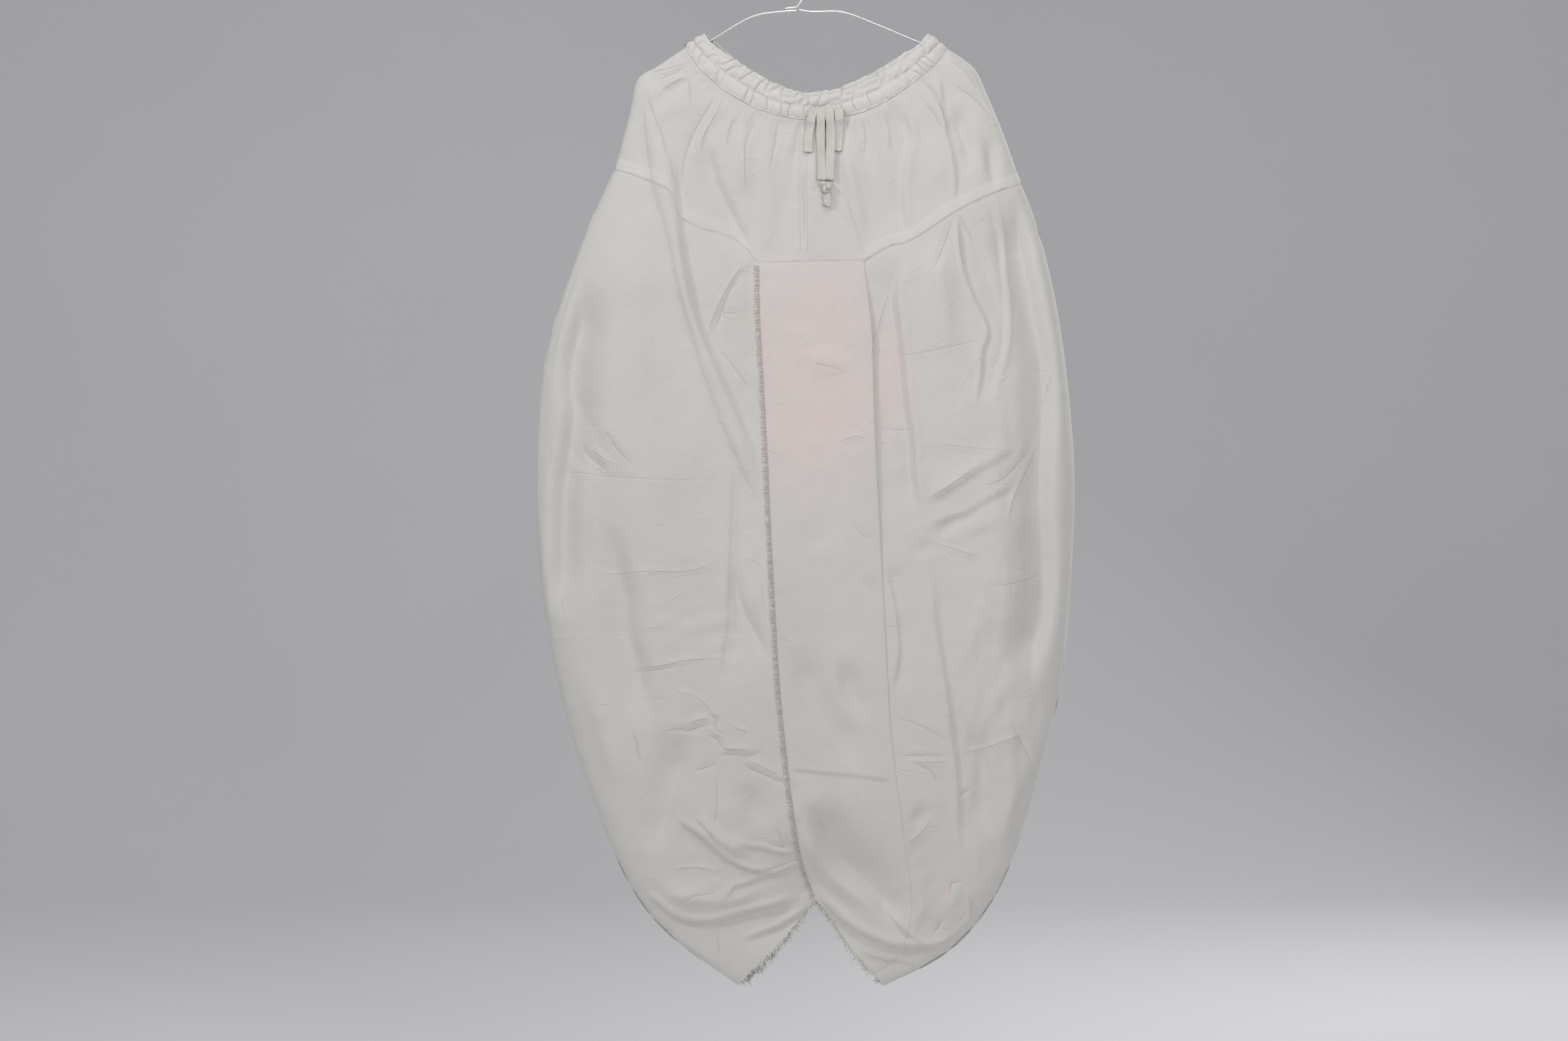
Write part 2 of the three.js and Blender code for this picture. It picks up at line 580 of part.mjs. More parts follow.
// pole is the part of a half turn that each end of the knot leaves open, and wrap how far the
// turns of tape round it swell.
const KNOT = {
  x: 22, z: -276, width: 13, height: 15, thick: 10, clear: 6.3,
  rows: 8, perRing: 12, pole: 0.06, wrap: 0.08,
};

// The front of whatever cloth shows at a place near the centre: the band's gathers or the yoke.
function frontOf(x, z) {
  const fromBand = nearest(BAND_FEET, x, z);
  const onBand = z > BAND_FOOT_CENTRE[1];
  const yoke = clothAt(x, z, -1).outer.y;
  const band = -bodyAt(x, z, -1).depth - TIER_BULGE - GATHER_HEIGHT;
  return onBand || fromBand.distance < NEAR_BAND ? Math.min(yoke, band) : yoke;
}

const inFront = (x, z, clear) => new THREE.Vector3(x, frontOf(x, z) - clear, z);

// A flat strip along a path in front of the yoke, with slightly rounded edges.
function tape({ name, width, thick, path }) {
  const route = sampled(curve(path), TAPE_SPANS);
  const off = curve(path.map(([, z, clear]) => [clear, z]));
  const centres = route.map((p, i) => inFront(p.x, p.y, off(i / TAPE_SPANS).x));
  const points = [];
  centres.forEach((centre, i) => {
    const [a, b] = [route[Math.max(0, i - 1)], route[Math.min(route.length - 1, i + 1)]];
    const along = new THREE.Vector2(b.x - a.x, b.y - a.y).normalize();
    for (const { across, out } of TAPE_SECTION) {
      points.push(new THREE.Vector3(
        centre.x - (along.y * across * width) / 2,
        centre.y + (out * thick) / 2,
        centre.z + (along.x * across * width) / 2));
    }
  });
  return mesh(name, sweptGeometry(points, TAPE_SECTION.length), TAPE);
}

// A closed body through rings of the same number of points, with fans over both ends.
function sweptGeometry(points, perRing) {
  const rings = points.length / perRing;
  const index = [];
  for (let i = 0; i + 1 < rings; i += 1) {
    for (let j = 0; j < perRing; j += 1) {
      const [a, b] = [i * perRing + j, i * perRing + ((j + 1) % perRing)];
      index.push(a, b, b + perRing, a, b + perRing, a + perRing);
    }
  }
  const last = (rings - 1) * perRing;
  for (let j = 1; j + 1 < perRing; j += 1) {
    index.push(0, j + 1, j);
    index.push(last, last + j, last + j + 1);
  }
  const geometry = new THREE.BufferGeometry().setFromPoints(points);
  geometry.setIndex(index);
  return geometry;
}

function makeKnot() {
  const centre = inFront(KNOT.x, KNOT.z, KNOT.clear);
  const { rows, perRing, pole } = KNOT;
  const points = [];
  for (let i = 0; i <= rows; i += 1) {
    const polar = Math.PI * (pole + ((1 - 2 * pole) * i) / rows);
    for (let j = 0; j < perRing; j += 1) {
      const turn = (2 * Math.PI * j) / perRing;
      const wrap = 1 + KNOT.wrap * Math.cos(3 * turn + 2 * polar);
      points.push(new THREE.Vector3(
        centre.x + (KNOT.width / 2) * Math.sin(polar) * Math.cos(turn) * wrap,
        centre.y - (KNOT.thick / 2) * Math.sin(polar) * Math.sin(turn) * wrap,
        centre.z + (KNOT.height / 2) * Math.cos(polar)));
    }
  }
  return mesh('drawstring_knot', sweptGeometry(points, perRing), TAPE);
}

// ---- the hanger -----------------------------------------------------------------------------

const HOOK_RADIUS = 19;
const HOOK_ARC = { from: 195, to: -25, step: 20 };   // degrees, over the rail
const WIRE_SIDES = 8;
const WIRE_STEPS = { hook: 7, frame: 12 };           // between the wire's rings
const NECK = [-9, -75];
const SHOULDERS = { left: 0.33, right: 0.22 };       // shares of the yokes' sloping edges
const TANGENT_STEP = 0.01;                           // of a curve, to either side

function wire(name, points, step) {
  const path = new THREE.CatmullRomCurve3(
    points.map(([x, z]) => new THREE.Vector3(x, 0, z)), false, 'centripetal');
  const round = evenly(WIRE_SIDES).slice(1).map((share) => new THREE.Vector2(
    WIRE_RADIUS * Math.cos(2 * Math.PI * share), WIRE_RADIUS * Math.sin(2 * Math.PI * share)));
  const geometry = new THREE.ExtrudeGeometry(new THREE.Shape(round), {
    extrudePath: path, steps: Math.round(path.getLength() / step), bevelEnabled: false });
  return mesh(name, geometry, STEEL);
}

// The hook: from its free tip over the rail and down the stem to the neck, where its end lies
// along the top of the left arm.
function makeHook() {
  const arc = [];
  for (let degrees = HOOK_ARC.from; degrees >= HOOK_ARC.to; degrees -= HOOK_ARC.step) {
    const turn = THREE.MathUtils.degToRad(degrees);
    const reach = HOOK_RADIUS + WIRE_RADIUS;
    arc.push([reach * Math.cos(turn), -HOOK_RADIUS + reach * Math.sin(turn)]);
  }
  const stem = [[8, -41], [-1, -58], [-7, -69], [-11, -72.6], [-17, -73.4], [-23, -74.1]];
  return wire('hanger_hook', [...arc, ...stem], WIRE_STEPS.hook);
}

// Points of an arm under the yoke's sloping edge, from the band out to the shoulder, which lies
// at the given share of that edge. turn is +1 where the cloth lies to the right of the edge.
function armUnder(side, shoulder, turn) {
  return evenly(4).map((share) => {
    const t = share * shoulder;
    const along = side(t + TANGENT_STEP).sub(side(Math.max(0, t - TANGENT_STEP))).normalize();
    return [side(t).x - turn * along.y * WIRE_SEAT, side(t).y + turn * along.x * WIRE_SEAT];
  });
}

// The frame: both arms, the bends at the shoulders and the bar, open by a hair at the neck.
function makeFrame() {
  const right = [[NECK[0] + 1, NECK[1] - 0.6], [6, -77.6], [41, -78.2], [84, -94], [128, -112.4],
    ...armUnder(CURVES.sideYokeRight, SHOULDERS.right, -1), [190, -156], [187, -169]];
  const left = [[-180, -170], [-184, -158],
    ...armUnder(CURVES.sideYokeLeft, SHOULDERS.left, 1).reverse(),
    [-108, -110.9], [-59, -83], [-22, -77.2], [NECK[0], NECK[1] - 1.4]];
  const bar = [[172, -177], [120, -179], [0, -180], [-120, -179], [-166, -177]];
  return wire('hanger_frame', [...right, ...bar, ...left], WIRE_STEPS.frame);
}

// ---- the whole ------------------------------------------------------------------------------

const salwar = new THREE.Group();
salwar.add(makeWaistband());
salwar.add(...makeYokes());
salwar.add(...makeLegs());
salwar.add(makePanel());
salwar.add(...TAPES.map(tape), makeKnot());
salwar.add(makeHook(), makeFrame());

export default salwar;
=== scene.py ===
"""A dhoti salwar of thin white cotton, hung by its gathered waist over a wire hanger.

The form is worked out in millimetres, as the part's own source does it, and MM turns it into the
frame's metres: x to the viewer's right, z up, the front faces -y, the origin under the hook's top.
"""
import math
from collections import namedtuple

import bpy
import numpy as np
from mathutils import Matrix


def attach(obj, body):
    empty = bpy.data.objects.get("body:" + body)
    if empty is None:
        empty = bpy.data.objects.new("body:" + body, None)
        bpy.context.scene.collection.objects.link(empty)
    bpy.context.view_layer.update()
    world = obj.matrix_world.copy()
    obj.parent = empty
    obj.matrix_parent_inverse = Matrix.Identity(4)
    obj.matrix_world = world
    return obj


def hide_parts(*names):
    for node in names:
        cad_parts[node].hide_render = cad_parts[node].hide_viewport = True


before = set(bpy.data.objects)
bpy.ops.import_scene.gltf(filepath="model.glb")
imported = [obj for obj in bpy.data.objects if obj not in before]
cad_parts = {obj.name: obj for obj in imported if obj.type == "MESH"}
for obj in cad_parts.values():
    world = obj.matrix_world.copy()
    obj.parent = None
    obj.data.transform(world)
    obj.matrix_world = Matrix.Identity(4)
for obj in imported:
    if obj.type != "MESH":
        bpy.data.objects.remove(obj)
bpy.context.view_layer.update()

MM = 0.001
FORWARD = np.array([0, -1, 0])

# ---- driving sizes ---------------------------------------------------------------------------

CLOTH = 0.8                    # thickness of the cotton
WIRE_RADIUS = 1.1
WIRE_SEAT = 4                  # from the outline in to the middle of the wire under it
MIN_HALF_DEPTH = 2.3           # where the front and back layers meet at the crotch
BAND_HEIGHT = 34               # both tiers of the waistband
GATHERS_PER_SIDE = 42          # across its front, and across its back
TIER_BULGE = 1.6               # how far a tier swells between its stitch rows
GATHER_HEIGHT = 2.9            # how far a gather stands out of the band
BAND_CREST = 2.4               # the same for the crests that the drawstring rests on
EDGE_CALM = 22                 # how far in from the outline the folds take to grow
FINE_CALM = 7                  # the same for creases
BAND_CALM = 9                  # how far down from the band they take to grow
PATH_STEP = 5                  # between the places of a fold's path
EDGE_STEP = 1.6                # how far a folded edge takes to make its crisp step
EDGE_DEPTH = 1.7               # depth of that step under an edge whose lip is 1 or more
EDGE_REACH = 6                 # how far from the edge that step takes to level out again
SINK_WIDTH = 2.2               # how many rounds of the edge the cloth beside it takes to sink
CREASE_SOFT = 0.7              # share of a crease's height that is in its soft form
CREASE_FADE = 0.3              # share of a crease's length that it takes to grow from each end
LINE_REACH = 7                 # how far from a crease its crisp line is still looked for
LINE_FULL = 2.0                # height of a crease whose crisp line is pressed in fully
SEAM_BAND = 13                 # height of the allowance behind a yoke, above its foot
SEAM_TUCK = 3                  # how far a piece runs on under its neighbour at a seam
YOKE_TUCK = 4                  # the same for the yokes under the band
TUCK_IN = 0.9                  # how far in what runs on under a neighbour lies
PANEL_TUCK_IN = 1.2            # the same at the panel's head
UNDER_PANEL = 4                # how far the right leg runs on under the panel's right edge
RAW_EDGE = 4                   # width of the panel's raw allowance over the left leg
NEAR_BAND = 4                  # how close to the band's foot the drawstring still lies on the band
CURVE_STEPS = 600              # between the kept points of a named line
SPLINE_STEPS = 400             # between the points that a smooth curve is measured with
ROUTE_STEPS = 28               # along each tape of the drawstring
ARC_STEPS = 12                 # of the wire between two of its given points
NOISE_CELLS = 64               # of the table that smooth noise is read from, each way
SHARP_ANGLE = 75               # degrees between faces that still shade as one

# Each place has its own random numbers, and every run gives the same ones.
GATHER_SEED = 70
RAW_SEED = 71
PUCKER_SEED = 80
BAND_SEED = 90

# ---- outline, seams and edges of the front view, as (x, z) -----------------------------------

NOTCH = (11, -1067)            # where both crotch seams end, between the legs
LEFT_TIP = (-75, -1163)
RIGHT_TIP = (88, -1163)
BAND_LEFT_TOP = (-112, -104.5)
BAND_LEFT_FOOT = (-134, -117.5)
BAND_RIGHT_TOP = (135, -104.5)
BAND_RIGHT_FOOT = (157, -118.5)
SIDE_LEFT = (-213, -254)
SIDE_RIGHT = (240, -270)
PANEL_TOP_LEFT = (-52, -361)
PANEL_TOP_RIGHT = (64, -358)
PANEL_FOOT_RIGHT = (77, -1149)
BACK_YOKE_FOOT = (5, -372)
BAND_FOOT_CENTRE = (0, -201)

LINES = {
    "side_yoke_left": [BAND_LEFT_FOOT, (-166, -139), (-182, -148), (-190, -160), (-196, -190),
                       SIDE_LEFT],
    "side_leg_left": [SIDE_LEFT, (-243, -320), (-281, -429), (-298, -530), (-299, -660), (-287, -767),
                      (-264, -872), (-227, -981), (-193, -1055), (-151, -1107), LEFT_TIP],
    "side_yoke_right": [BAND_RIGHT_FOOT, (176, -131), (190, -144), (202, -170), (220, -213),
                        SIDE_RIGHT],
    "side_leg_right": [SIDE_RIGHT, (261, -327), (282, -420), (296, -535), (299, -640), (288, -800),
                       (269, -894), (238, -1000), (206, -1071), (158, -1125), RIGHT_TIP],
    "band_top": [BAND_LEFT_TOP, (-105, -114), (-78, -134), (-41, -157), (-4, -170), (30, -167),
                 (64, -153), (106, -129), (128, -113), BAND_RIGHT_TOP],
    "band_top_back": [BAND_LEFT_TOP, (-100, -109), (-78, -129), (-41, -152), (-4, -165), (30, -162),
                      (64, -149), (106, -125), (131, -109), BAND_RIGHT_TOP],
    "band_foot_left": [BAND_LEFT_FOOT, (-124, -135), (-100, -160), (-67, -182), (-35, -195),
                       BAND_FOOT_CENTRE],
    "band_foot_right": [BAND_FOOT_CENTRE, (45, -197), (84, -183), (119, -159), (146, -136),
                        BAND_RIGHT_FOOT],
    "band_fold_left": [BAND_LEFT_TOP, (-119, -106), BAND_LEFT_FOOT],
    "band_fold_right": [BAND_RIGHT_TOP, (142, -107), BAND_RIGHT_FOOT],
    "yoke_foot_left": [SIDE_LEFT, (-185, -264), (-150, -281), (-140, -307), (-116, -321), (-78, -334),
                       PANEL_TOP_LEFT],
    "yoke_foot_centre": [PANEL_TOP_LEFT, (0, -359), PANEL_TOP_RIGHT],
    "yoke_foot_right": [PANEL_TOP_RIGHT, (92, -342), (117, -335), (166, -303), (206, -283), SIDE_RIGHT],
    "yoke_foot_back_left": [SIDE_LEFT, (-150, -296), (-75, -340), BACK_YOKE_FOOT],
    "yoke_foot_back_right": [BACK_YOKE_FOOT, (85, -345), (165, -310), SIDE_RIGHT],
    "centre_front": [BAND_FOOT_CENTRE, (-1, -280), (0, -359)],
    "centre_back": [BAND_FOOT_CENTRE, (2, -280), BACK_YOKE_FOOT],
    "crotch_front": [PANEL_TOP_LEFT, (-51, -420), (-43, -568), (-37, -695), (-27, -853), (-8, -1005),
                     NOTCH],
    "crotch_back": [BACK_YOKE_FOOT, (7, -560), (10, -800), NOTCH],
    "panel_right": [PANEL_TOP_RIGHT, (73, -440), (76, -543), (85, -720), (94, -876), (107, -983),
                    (117, -1073), (104, -1128), PANEL_FOOT_RIGHT],
    "hem_left_front": [LEFT_TIP, (-62, -1146), (-30, -1115), (-2, -1083), NOTCH],
    "hem_left_back": [LEFT_TIP, (-53, -1149), (-28, -1121), (-7, -1094), NOTCH],
    "hem_panel": [NOTCH, (30, -1091), (53, -1123), PANEL_FOOT_RIGHT],
    "hem_leg_right": [PANEL_FOOT_RIGHT, (82, -1156), RIGHT_TIP],
    "hem_right_back": [NOTCH, (32, -1091), (60, -1130), RIGHT_TIP],
}

# Half of the garment's depth by height, and how far in from the outline it takes to round up to it.
Depth = namedtuple("Depth", "z half round")
DEPTHS = [
    Depth(-100, 11, 32),
    Depth(-150, 14, 46),
    Depth(-200, 17, 58),
    Depth(-270, 22, 68),
    Depth(-400, 30, 78),
    Depth(-600, 36, 84),
    Depth(-800, 36, 84),
    Depth(-950, 31, 72),
    Depth(-1050, 23, 52),
    Depth(-1110, 16, 40),
    Depth(-1165, 11, 30),
]
CROTCH_PINCH = 52              # how far from the notch the layers are drawn together

# ---- folds -----------------------------------------------------------------------------------
# A fold is a soft ridge, or with a negative height a trough, along a path of the front view. left
# and right are its half-widths to either side of a path that runs down; on a path that runs to the
# right they are its lower and upper half-widths. fade is how far it takes to grow from each end.
Fold = namedtuple("Fold", "name height left right fade path")
FRONT_FOLDS = [
    Fold("left roll", 3.2, 9, 7, 60,
         [(-172, -190), (-158, -266), (-142, -352), (-123, -430), (-98, -495), (-72, -560), (-47, -612)]),
    Fold("left side trough", -15, 9, 26, 70,
         [(-240, -371), (-250, -419), (-262, -465), (-263, -495), (-259, -526), (-263, -556),
          (-270, -599), (-273, -643), (-274, -757)]),
    Fold("left side swell", 2, 18, 26, 80, [(-214, -430), (-216, -500), (-220, -600), (-226, -680)]),
    Fold("left broad swell", 6.5, 36, 26, 120,
         [(-184, -288), (-190, -380), (-196, -460), (-172, -620), (-146, -760)]),
    Fold("left middle trough", -7, 12, 28, 60, [(-226, -540), (-229, -620), (-230, -700)]),
    Fold("left lower trough", -13, 28, 14, 70,
         [(-222, -640), (-212, -690), (-202, -732), (-198, -774), (-187, -809), (-183, -836),
          (-172, -880)]),
    Fold("left low swell", 5, 14, 20, 60, [(-240, -800), (-220, -880), (-196, -960)]),
    Fold("left ankle trough", -11, 26, 12, 50,
         [(-132, -870), (-144, -921), (-152, -950), (-160, -981), (-178, -1020)]),
    Fold("left seam trough", -5, 8, 6, 40, [(-79, -690), (-74, -732), (-58, -768), (-42, -803)]),
    Fold("left seam ridge", 4, 7, 9, 40, [(-55, -690), (-50, -740), (-40, -790)]),
    Fold("above the crotch", -6.5, 12, 14, 40, [(-70, -930), (-56, -960), (-40, -985)]),
    Fold("left cowl, its crest", 6.5, 8, 9, 30, [(-122, -968), (-106, -988), (-84, -1003), (-56, -1018)]),
    Fold("left lower crest", 5, 9, 14, 40, [(-176, -1040), (-130, -1062), (-84, -1064), (-40, -1052)]),
    Fold("yoke, left of centre", -6, 14, 7, 40,
         [(-122, -222), (-110, -240), (-98, -275), (-84, -305), (-70, -332), (-54, -358)]),
    Fold("yoke, left gather", 4, 7, 8, 30, [(-66, -205), (-70, -240), (-66, -290)]),
    Fold("yoke, panel line", 4, 6, 12, 40, [(-40, -205), (-42, -250), (-43, -300), (-46, -352)]),
    Fold("yoke, right of centre", 5, 8, 9, 40, [(40, -215), (50, -270), (64, -340)]),
    Fold("yoke, right trough", -5, 8, 8, 30, [(164, -180), (177, -225), (186, -262)]),
    Fold("yoke, right side trough", -5, 7, 7, 30, [(199, -215), (207, -250), (210, -284)]),
    Fold("right hip swell", 6.5, 16, 14, 50, [(140, -330), (150, -400), (156, -480)]),
    Fold("right hip trough", -5, 14, 8, 50, [(180, -320), (208, -400), (212, -440)]),
    Fold("right side trough", -15, 28, 9, 60,
         [(232, -286), (238, -322), (247, -374), (259, -437), (265, -480), (265, -534), (263, -578),
          (262, -621), (264, -665), (266, -712), (262, -748), (255, -778), (244, -830)]),
    Fold("right broad swell", 5, 26, 24, 90, [(200, -560), (212, -680), (210, -800)]),
    Fold("right middle ridge", 4, 5, 12, 30, [(127, -626), (162, -604), (196, -582), (236, -560)]),
    Fold("right low trough", -8, 14, 12, 50, [(184, -860), (196, -930), (190, -1000)]),
    Fold("right low swell", 5, 12, 14, 50, [(232, -880), (224, -950), (206, -1020)]),
    Fold("panel trough", -14.5, 11, 26, 45,
         [(4, -950), (19, -985), (32, -1009), (48, -1028), (72, -1049), (88, -1065), (104, -1081),
          (120, -1094)]),
    Fold("panel low ridge", 5, 10, 8, 40, [(-6, -975), (12, -1018), (40, -1050), (80, -1076)]),
    Fold("panel upper trough", -8, 16, 22, 50, [(-12, -780), (4, -831), (30, -875), (52, -907), (70, -920)]),
    Fold("panel side trough", -8, 10, 18, 40, [(38, -790), (48, -828), (62, -853), (80, -870)]),
    Fold("panel waves", 3, 14, 14, 40, [(-20, -460), (20, -470), (58, -486)]),
    Fold("panel middle trough", -1.5, 16, 18, 40, [(-30, -662), (20, -664), (66, -660)]),
    Fold("strip low trough", -5, 9, 9, 30, [(104, -985), (124, -974), (140, -952)]),
]

# Folded edges: the cloth on one side of the path lies lower, close behind the edge. toward is +1
# where the low side is to the right of a path that runs down, or above one that runs to the right.
# lip is the height of the edge's own roll and round half its width, and reach is how far away the
# low side takes to rise again.
Edge = namedtuple("Edge", "name drop toward lip round reach fade path")
FRONT_EDGES = [
    Edge("left roll, its outer crease", 2.5, -1, 1, 5, 26, 50,
         [(-182, -160), (-179, -192), (-170, -266), (-152, -330), (-140, -390), (-129, -428), (-108, -495),
          (-84, -556), (-58, -612), (-44, -640)]),
    Edge("left roll over the crotch fold", 6, 1, 1.2, 4, 34, 60,
         [(-161, -212), (-149, -259), (-143, -300), (-137, -350), (-128, -400), (-112, -447), (-79, -521),
          (-58, -569), (-48, -586)]),
    Edge("left panel over its underside", 4.5, 1, 1, 6, 24, 70,
         [(-84, -565), (-82, -617), (-84, -675), (-86, -732), (-88, -770), (-94, -805), (-98, -850)]),
    Edge("front layer over the side", 5, -1, 1.5, 4, 18, 40,
         [(-247, -345), (-257, -378), (-266, -406), (-274, -432), (-281, -456), (-290, -490)]),
    Edge("beside the raw edge", 1.6, -1, 0.05, 2, 16, 30,
         [(-59, -361), (-58, -420), (-50, -568), (-44, -695), (-34, -853), (-16, -1000)]),
    Edge("left upper cowl", 4, -1, 2, 3, 24, 26,
         [(-146, -974), (-131, -982), (-114, -996), (-103, -1006), (-89, -1018), (-75, -1026), (-60, -1032),
          (-44, -1033), (-30, -1028)]),
    Edge("left inner cowl", 2.6, -1, 1.5, 3, 14, 22,
         [(-80, -1000), (-60, -1006), (-46, -1008), (-32, -1013), (-19, -1014), (-4, -1011)]),
    Edge("left lens", 3, -1, 1.5, 3, 12, 20,
         [(-96, -1065), (-84, -1056), (-79, -1050), (-63, -1046), (-49, -1040), (-32, -1036), (-18, -1030),
          (-4, -1022)]),
    Edge("left lower cowl", 5, -1, 3, 4.5, 26, 30,
         [(-188, -1057), (-181, -1061), (-168, -1067), (-155, -1077), (-140, -1086), (-123, -1090),
          (-103, -1090), (-89, -1087), (-75, -1082), (-52, -1077), (-35, -1073), (-19, -1069), (-3, -1068)]),
    Edge("left ankle fold", 3, -1, 1.5, 3, 16, 20,
         [(-74, -1114), (-60, -1107), (-46, -1101), (-32, -1097), (-16, -1088), (-4, -1081), (8, -1071)]),
    Edge("broad panel over the strip", 9, -1, 1, 4, 34, 50,
         [(112, -350), (103, -387), (102, -404), (106, -432), (109, -463), (114, -513), (120, -552),
          (123, -599), (130, -650)]),
    Edge("strip over the broad panel", 6, 1, 0.8, 4, 24, 110,
         [(134, -670), (143, -762), (149, -799), (156, -842), (160, -881), (165, -918), (168, -972),
          (171, -1027), (172, -1046)]),
    Edge("facing beside the panel", 3, 1, 0.8, 3, 18, 26,
         [(86, -690), (96, -731), (101, -762), (102, -795), (93, -838)]),
    Edge("yoke, over the strip", 5, -1, 1.2, 4, 24, 36,
         [(106, -172), (117, -216), (116, -229), (110, -259), (109, -290), (114, -324), (118, -336)]),
    Edge("yoke, to the pleats", 3, 1, 1.2, 3, 16, 30,
         [(148, -145), (154, -205), (161, -232), (166, -262), (166, -290), (167, -304)]),
    Edge("first pleat", 2.6, 1, 1, 2.6, 12, 30,
         [(167, -305), (173, -361), (184, -395), (199, -426), (201, -442), (195, -458), (193, -487),
          (187, -524)]),
    Edge("second pleat", 3.4, -1, 1, 3, 16, 34,
         [(208, -283), (211, -303), (219, -333), (221, -374), (224, -404), (223, -441), (219, -464),
          (214, -480), (205, -520)]),
    Edge("right middle crease", 3, -1, 1.2, 3, 14, 20, [(134, -649), (171, -638), (201, -621), (232, -604)]),
    Edge("right cowl", 7, -1, 4, 5, 36, 30,
         [(9, -1056), (24, -1074), (40, -1089), (59, -1102), (78, -1110), (94, -1116), (114, -1119),
          (133, -1120), (149, -1118), (165, -1110), (181, -1097), (194, -1084), (207, -1068)]),
    Edge("panel cowl", 3, -1, 1.5, 3, 14, 20,
         [(85, -1060), (91, -1078), (104, -1094), (117, -1106), (130, -1114), (147, -1118)]),
    Edge("right tip fold", 3, -1, 1.5, 3, 12, 20,
         [(60, -1123), (78, -1130), (98, -1135), (120, -1139), (133, -1140)]),
    Edge("panel step", 1.8, -1, 0.4, 2, 20, 14, [(-17, -918), (19, -922), (58, -926), (97, -931)]),
]

BACK_FOLDS = [
    Fold("back left roll", 8, 14, 9, 60, [(-150, -190), (-140, -320), (-110, -460), (-62, -610)]),
    Fold("back right roll", 8, 9, 14, 60, [(168, -190), (160, -320), (128, -460), (76, -620)]),
    Fold("back left trough", -8, 14, 9, 80, [(-205, -310), (-228, -480), (-225, -700), (-190, -880)]),
    Fold("back right trough", -8, 9, 14, 80, [(225, -320), (245, -500), (240, -700), (205, -880)]),
    Fold("back left swell", 5, 26, 26, 120, [(-160, -420), (-168, -600), (-150, -780)]),
    Fold("back right swell", 5, 26, 26, 120, [(170, -440), (182, -620), (160, -800)]),
    Fold("back left drop", 7, 12, 18, 70, [(-60, -420), (-72, -600), (-84, -790)]),
    Fold("back right drop", 7, 18, 12, 70, [(80, -430), (96, -600), (104, -800)]),
    Fold("back left cowl, its trough", -5, 10, 14, 40, [(-150, -1000), (-100, -1030), (-40, -1030)]),
    Fold("back right cowl, its trough", -5, 10, 14, 40, [(40, -1030), (110, -1030), (170, -1000)]),
    Fold("back upper cowl", 6, 9, 18, 45, [(-120, -950), (-50, -985), (20, -992), (90, -985), (160, -950)]),
    Fold("back left pleat", 6, 8, 11, 40, [(-128, -306), (-142, -380), (-150, -470)]),
    Fold("back right pleat", 6, 11, 8, 40, [(150, -312), (168, -390), (172, -480)]),
]
BACK_EDGES = [
    Edge("back left layer", 5, -1, 1.5, 4, 18, 50, [(-222, -300), (-250, -380), (-268, -470), (-280, -560)]),
    Edge("back right layer", 5, 1, 1.5, 4, 18, 50, [(246, -320), (262, -400), (276, -490), (284, -590)]),
    Edge("back left roll's edge", 5, 1, 2, 4, 26, 60, [(-142, -300), (-122, -410), (-88, -520), (-50, -620)]),
    Edge("back right roll's edge", 5, -1, 2, 4, 26, 60, [(160, -300), (138, -410), (104, -520), (66, -620)]),
    Edge("back left inner edge", 4, 1, 1.5, 5, 18, 60, [(-78, -640), (-86, -740), (-98, -850)]),
    Edge("back left cowl", 5, -1, 4, 7, 36, 30,
         [(-182, -1050), (-150, -1072), (-110, -1082), (-60, -1078), (-20, -1064), (4, -1062)]),
    Edge("back right cowl", 5, -1, 4, 7, 36, 30,
         [(20, -1062), (50, -1078), (96, -1090), (140, -1088), (178, -1070), (200, -1050)]),
    Edge("back middle cowl", 4, -1, 3, 5, 26, 30, [(-120, -1010), (-70, -1034), (-20, -1036), (10, -1024)]),
    Edge("back left ankle fold", 3, -1, 2, 4, 16, 20, [(-100, -1122), (-60, -1112), (-20, -1090)]),
    Edge("back right ankle fold", 3, -1, 2, 4, 16, 20, [(36, -1094), (76, -1118), (124, -1124)]),
]

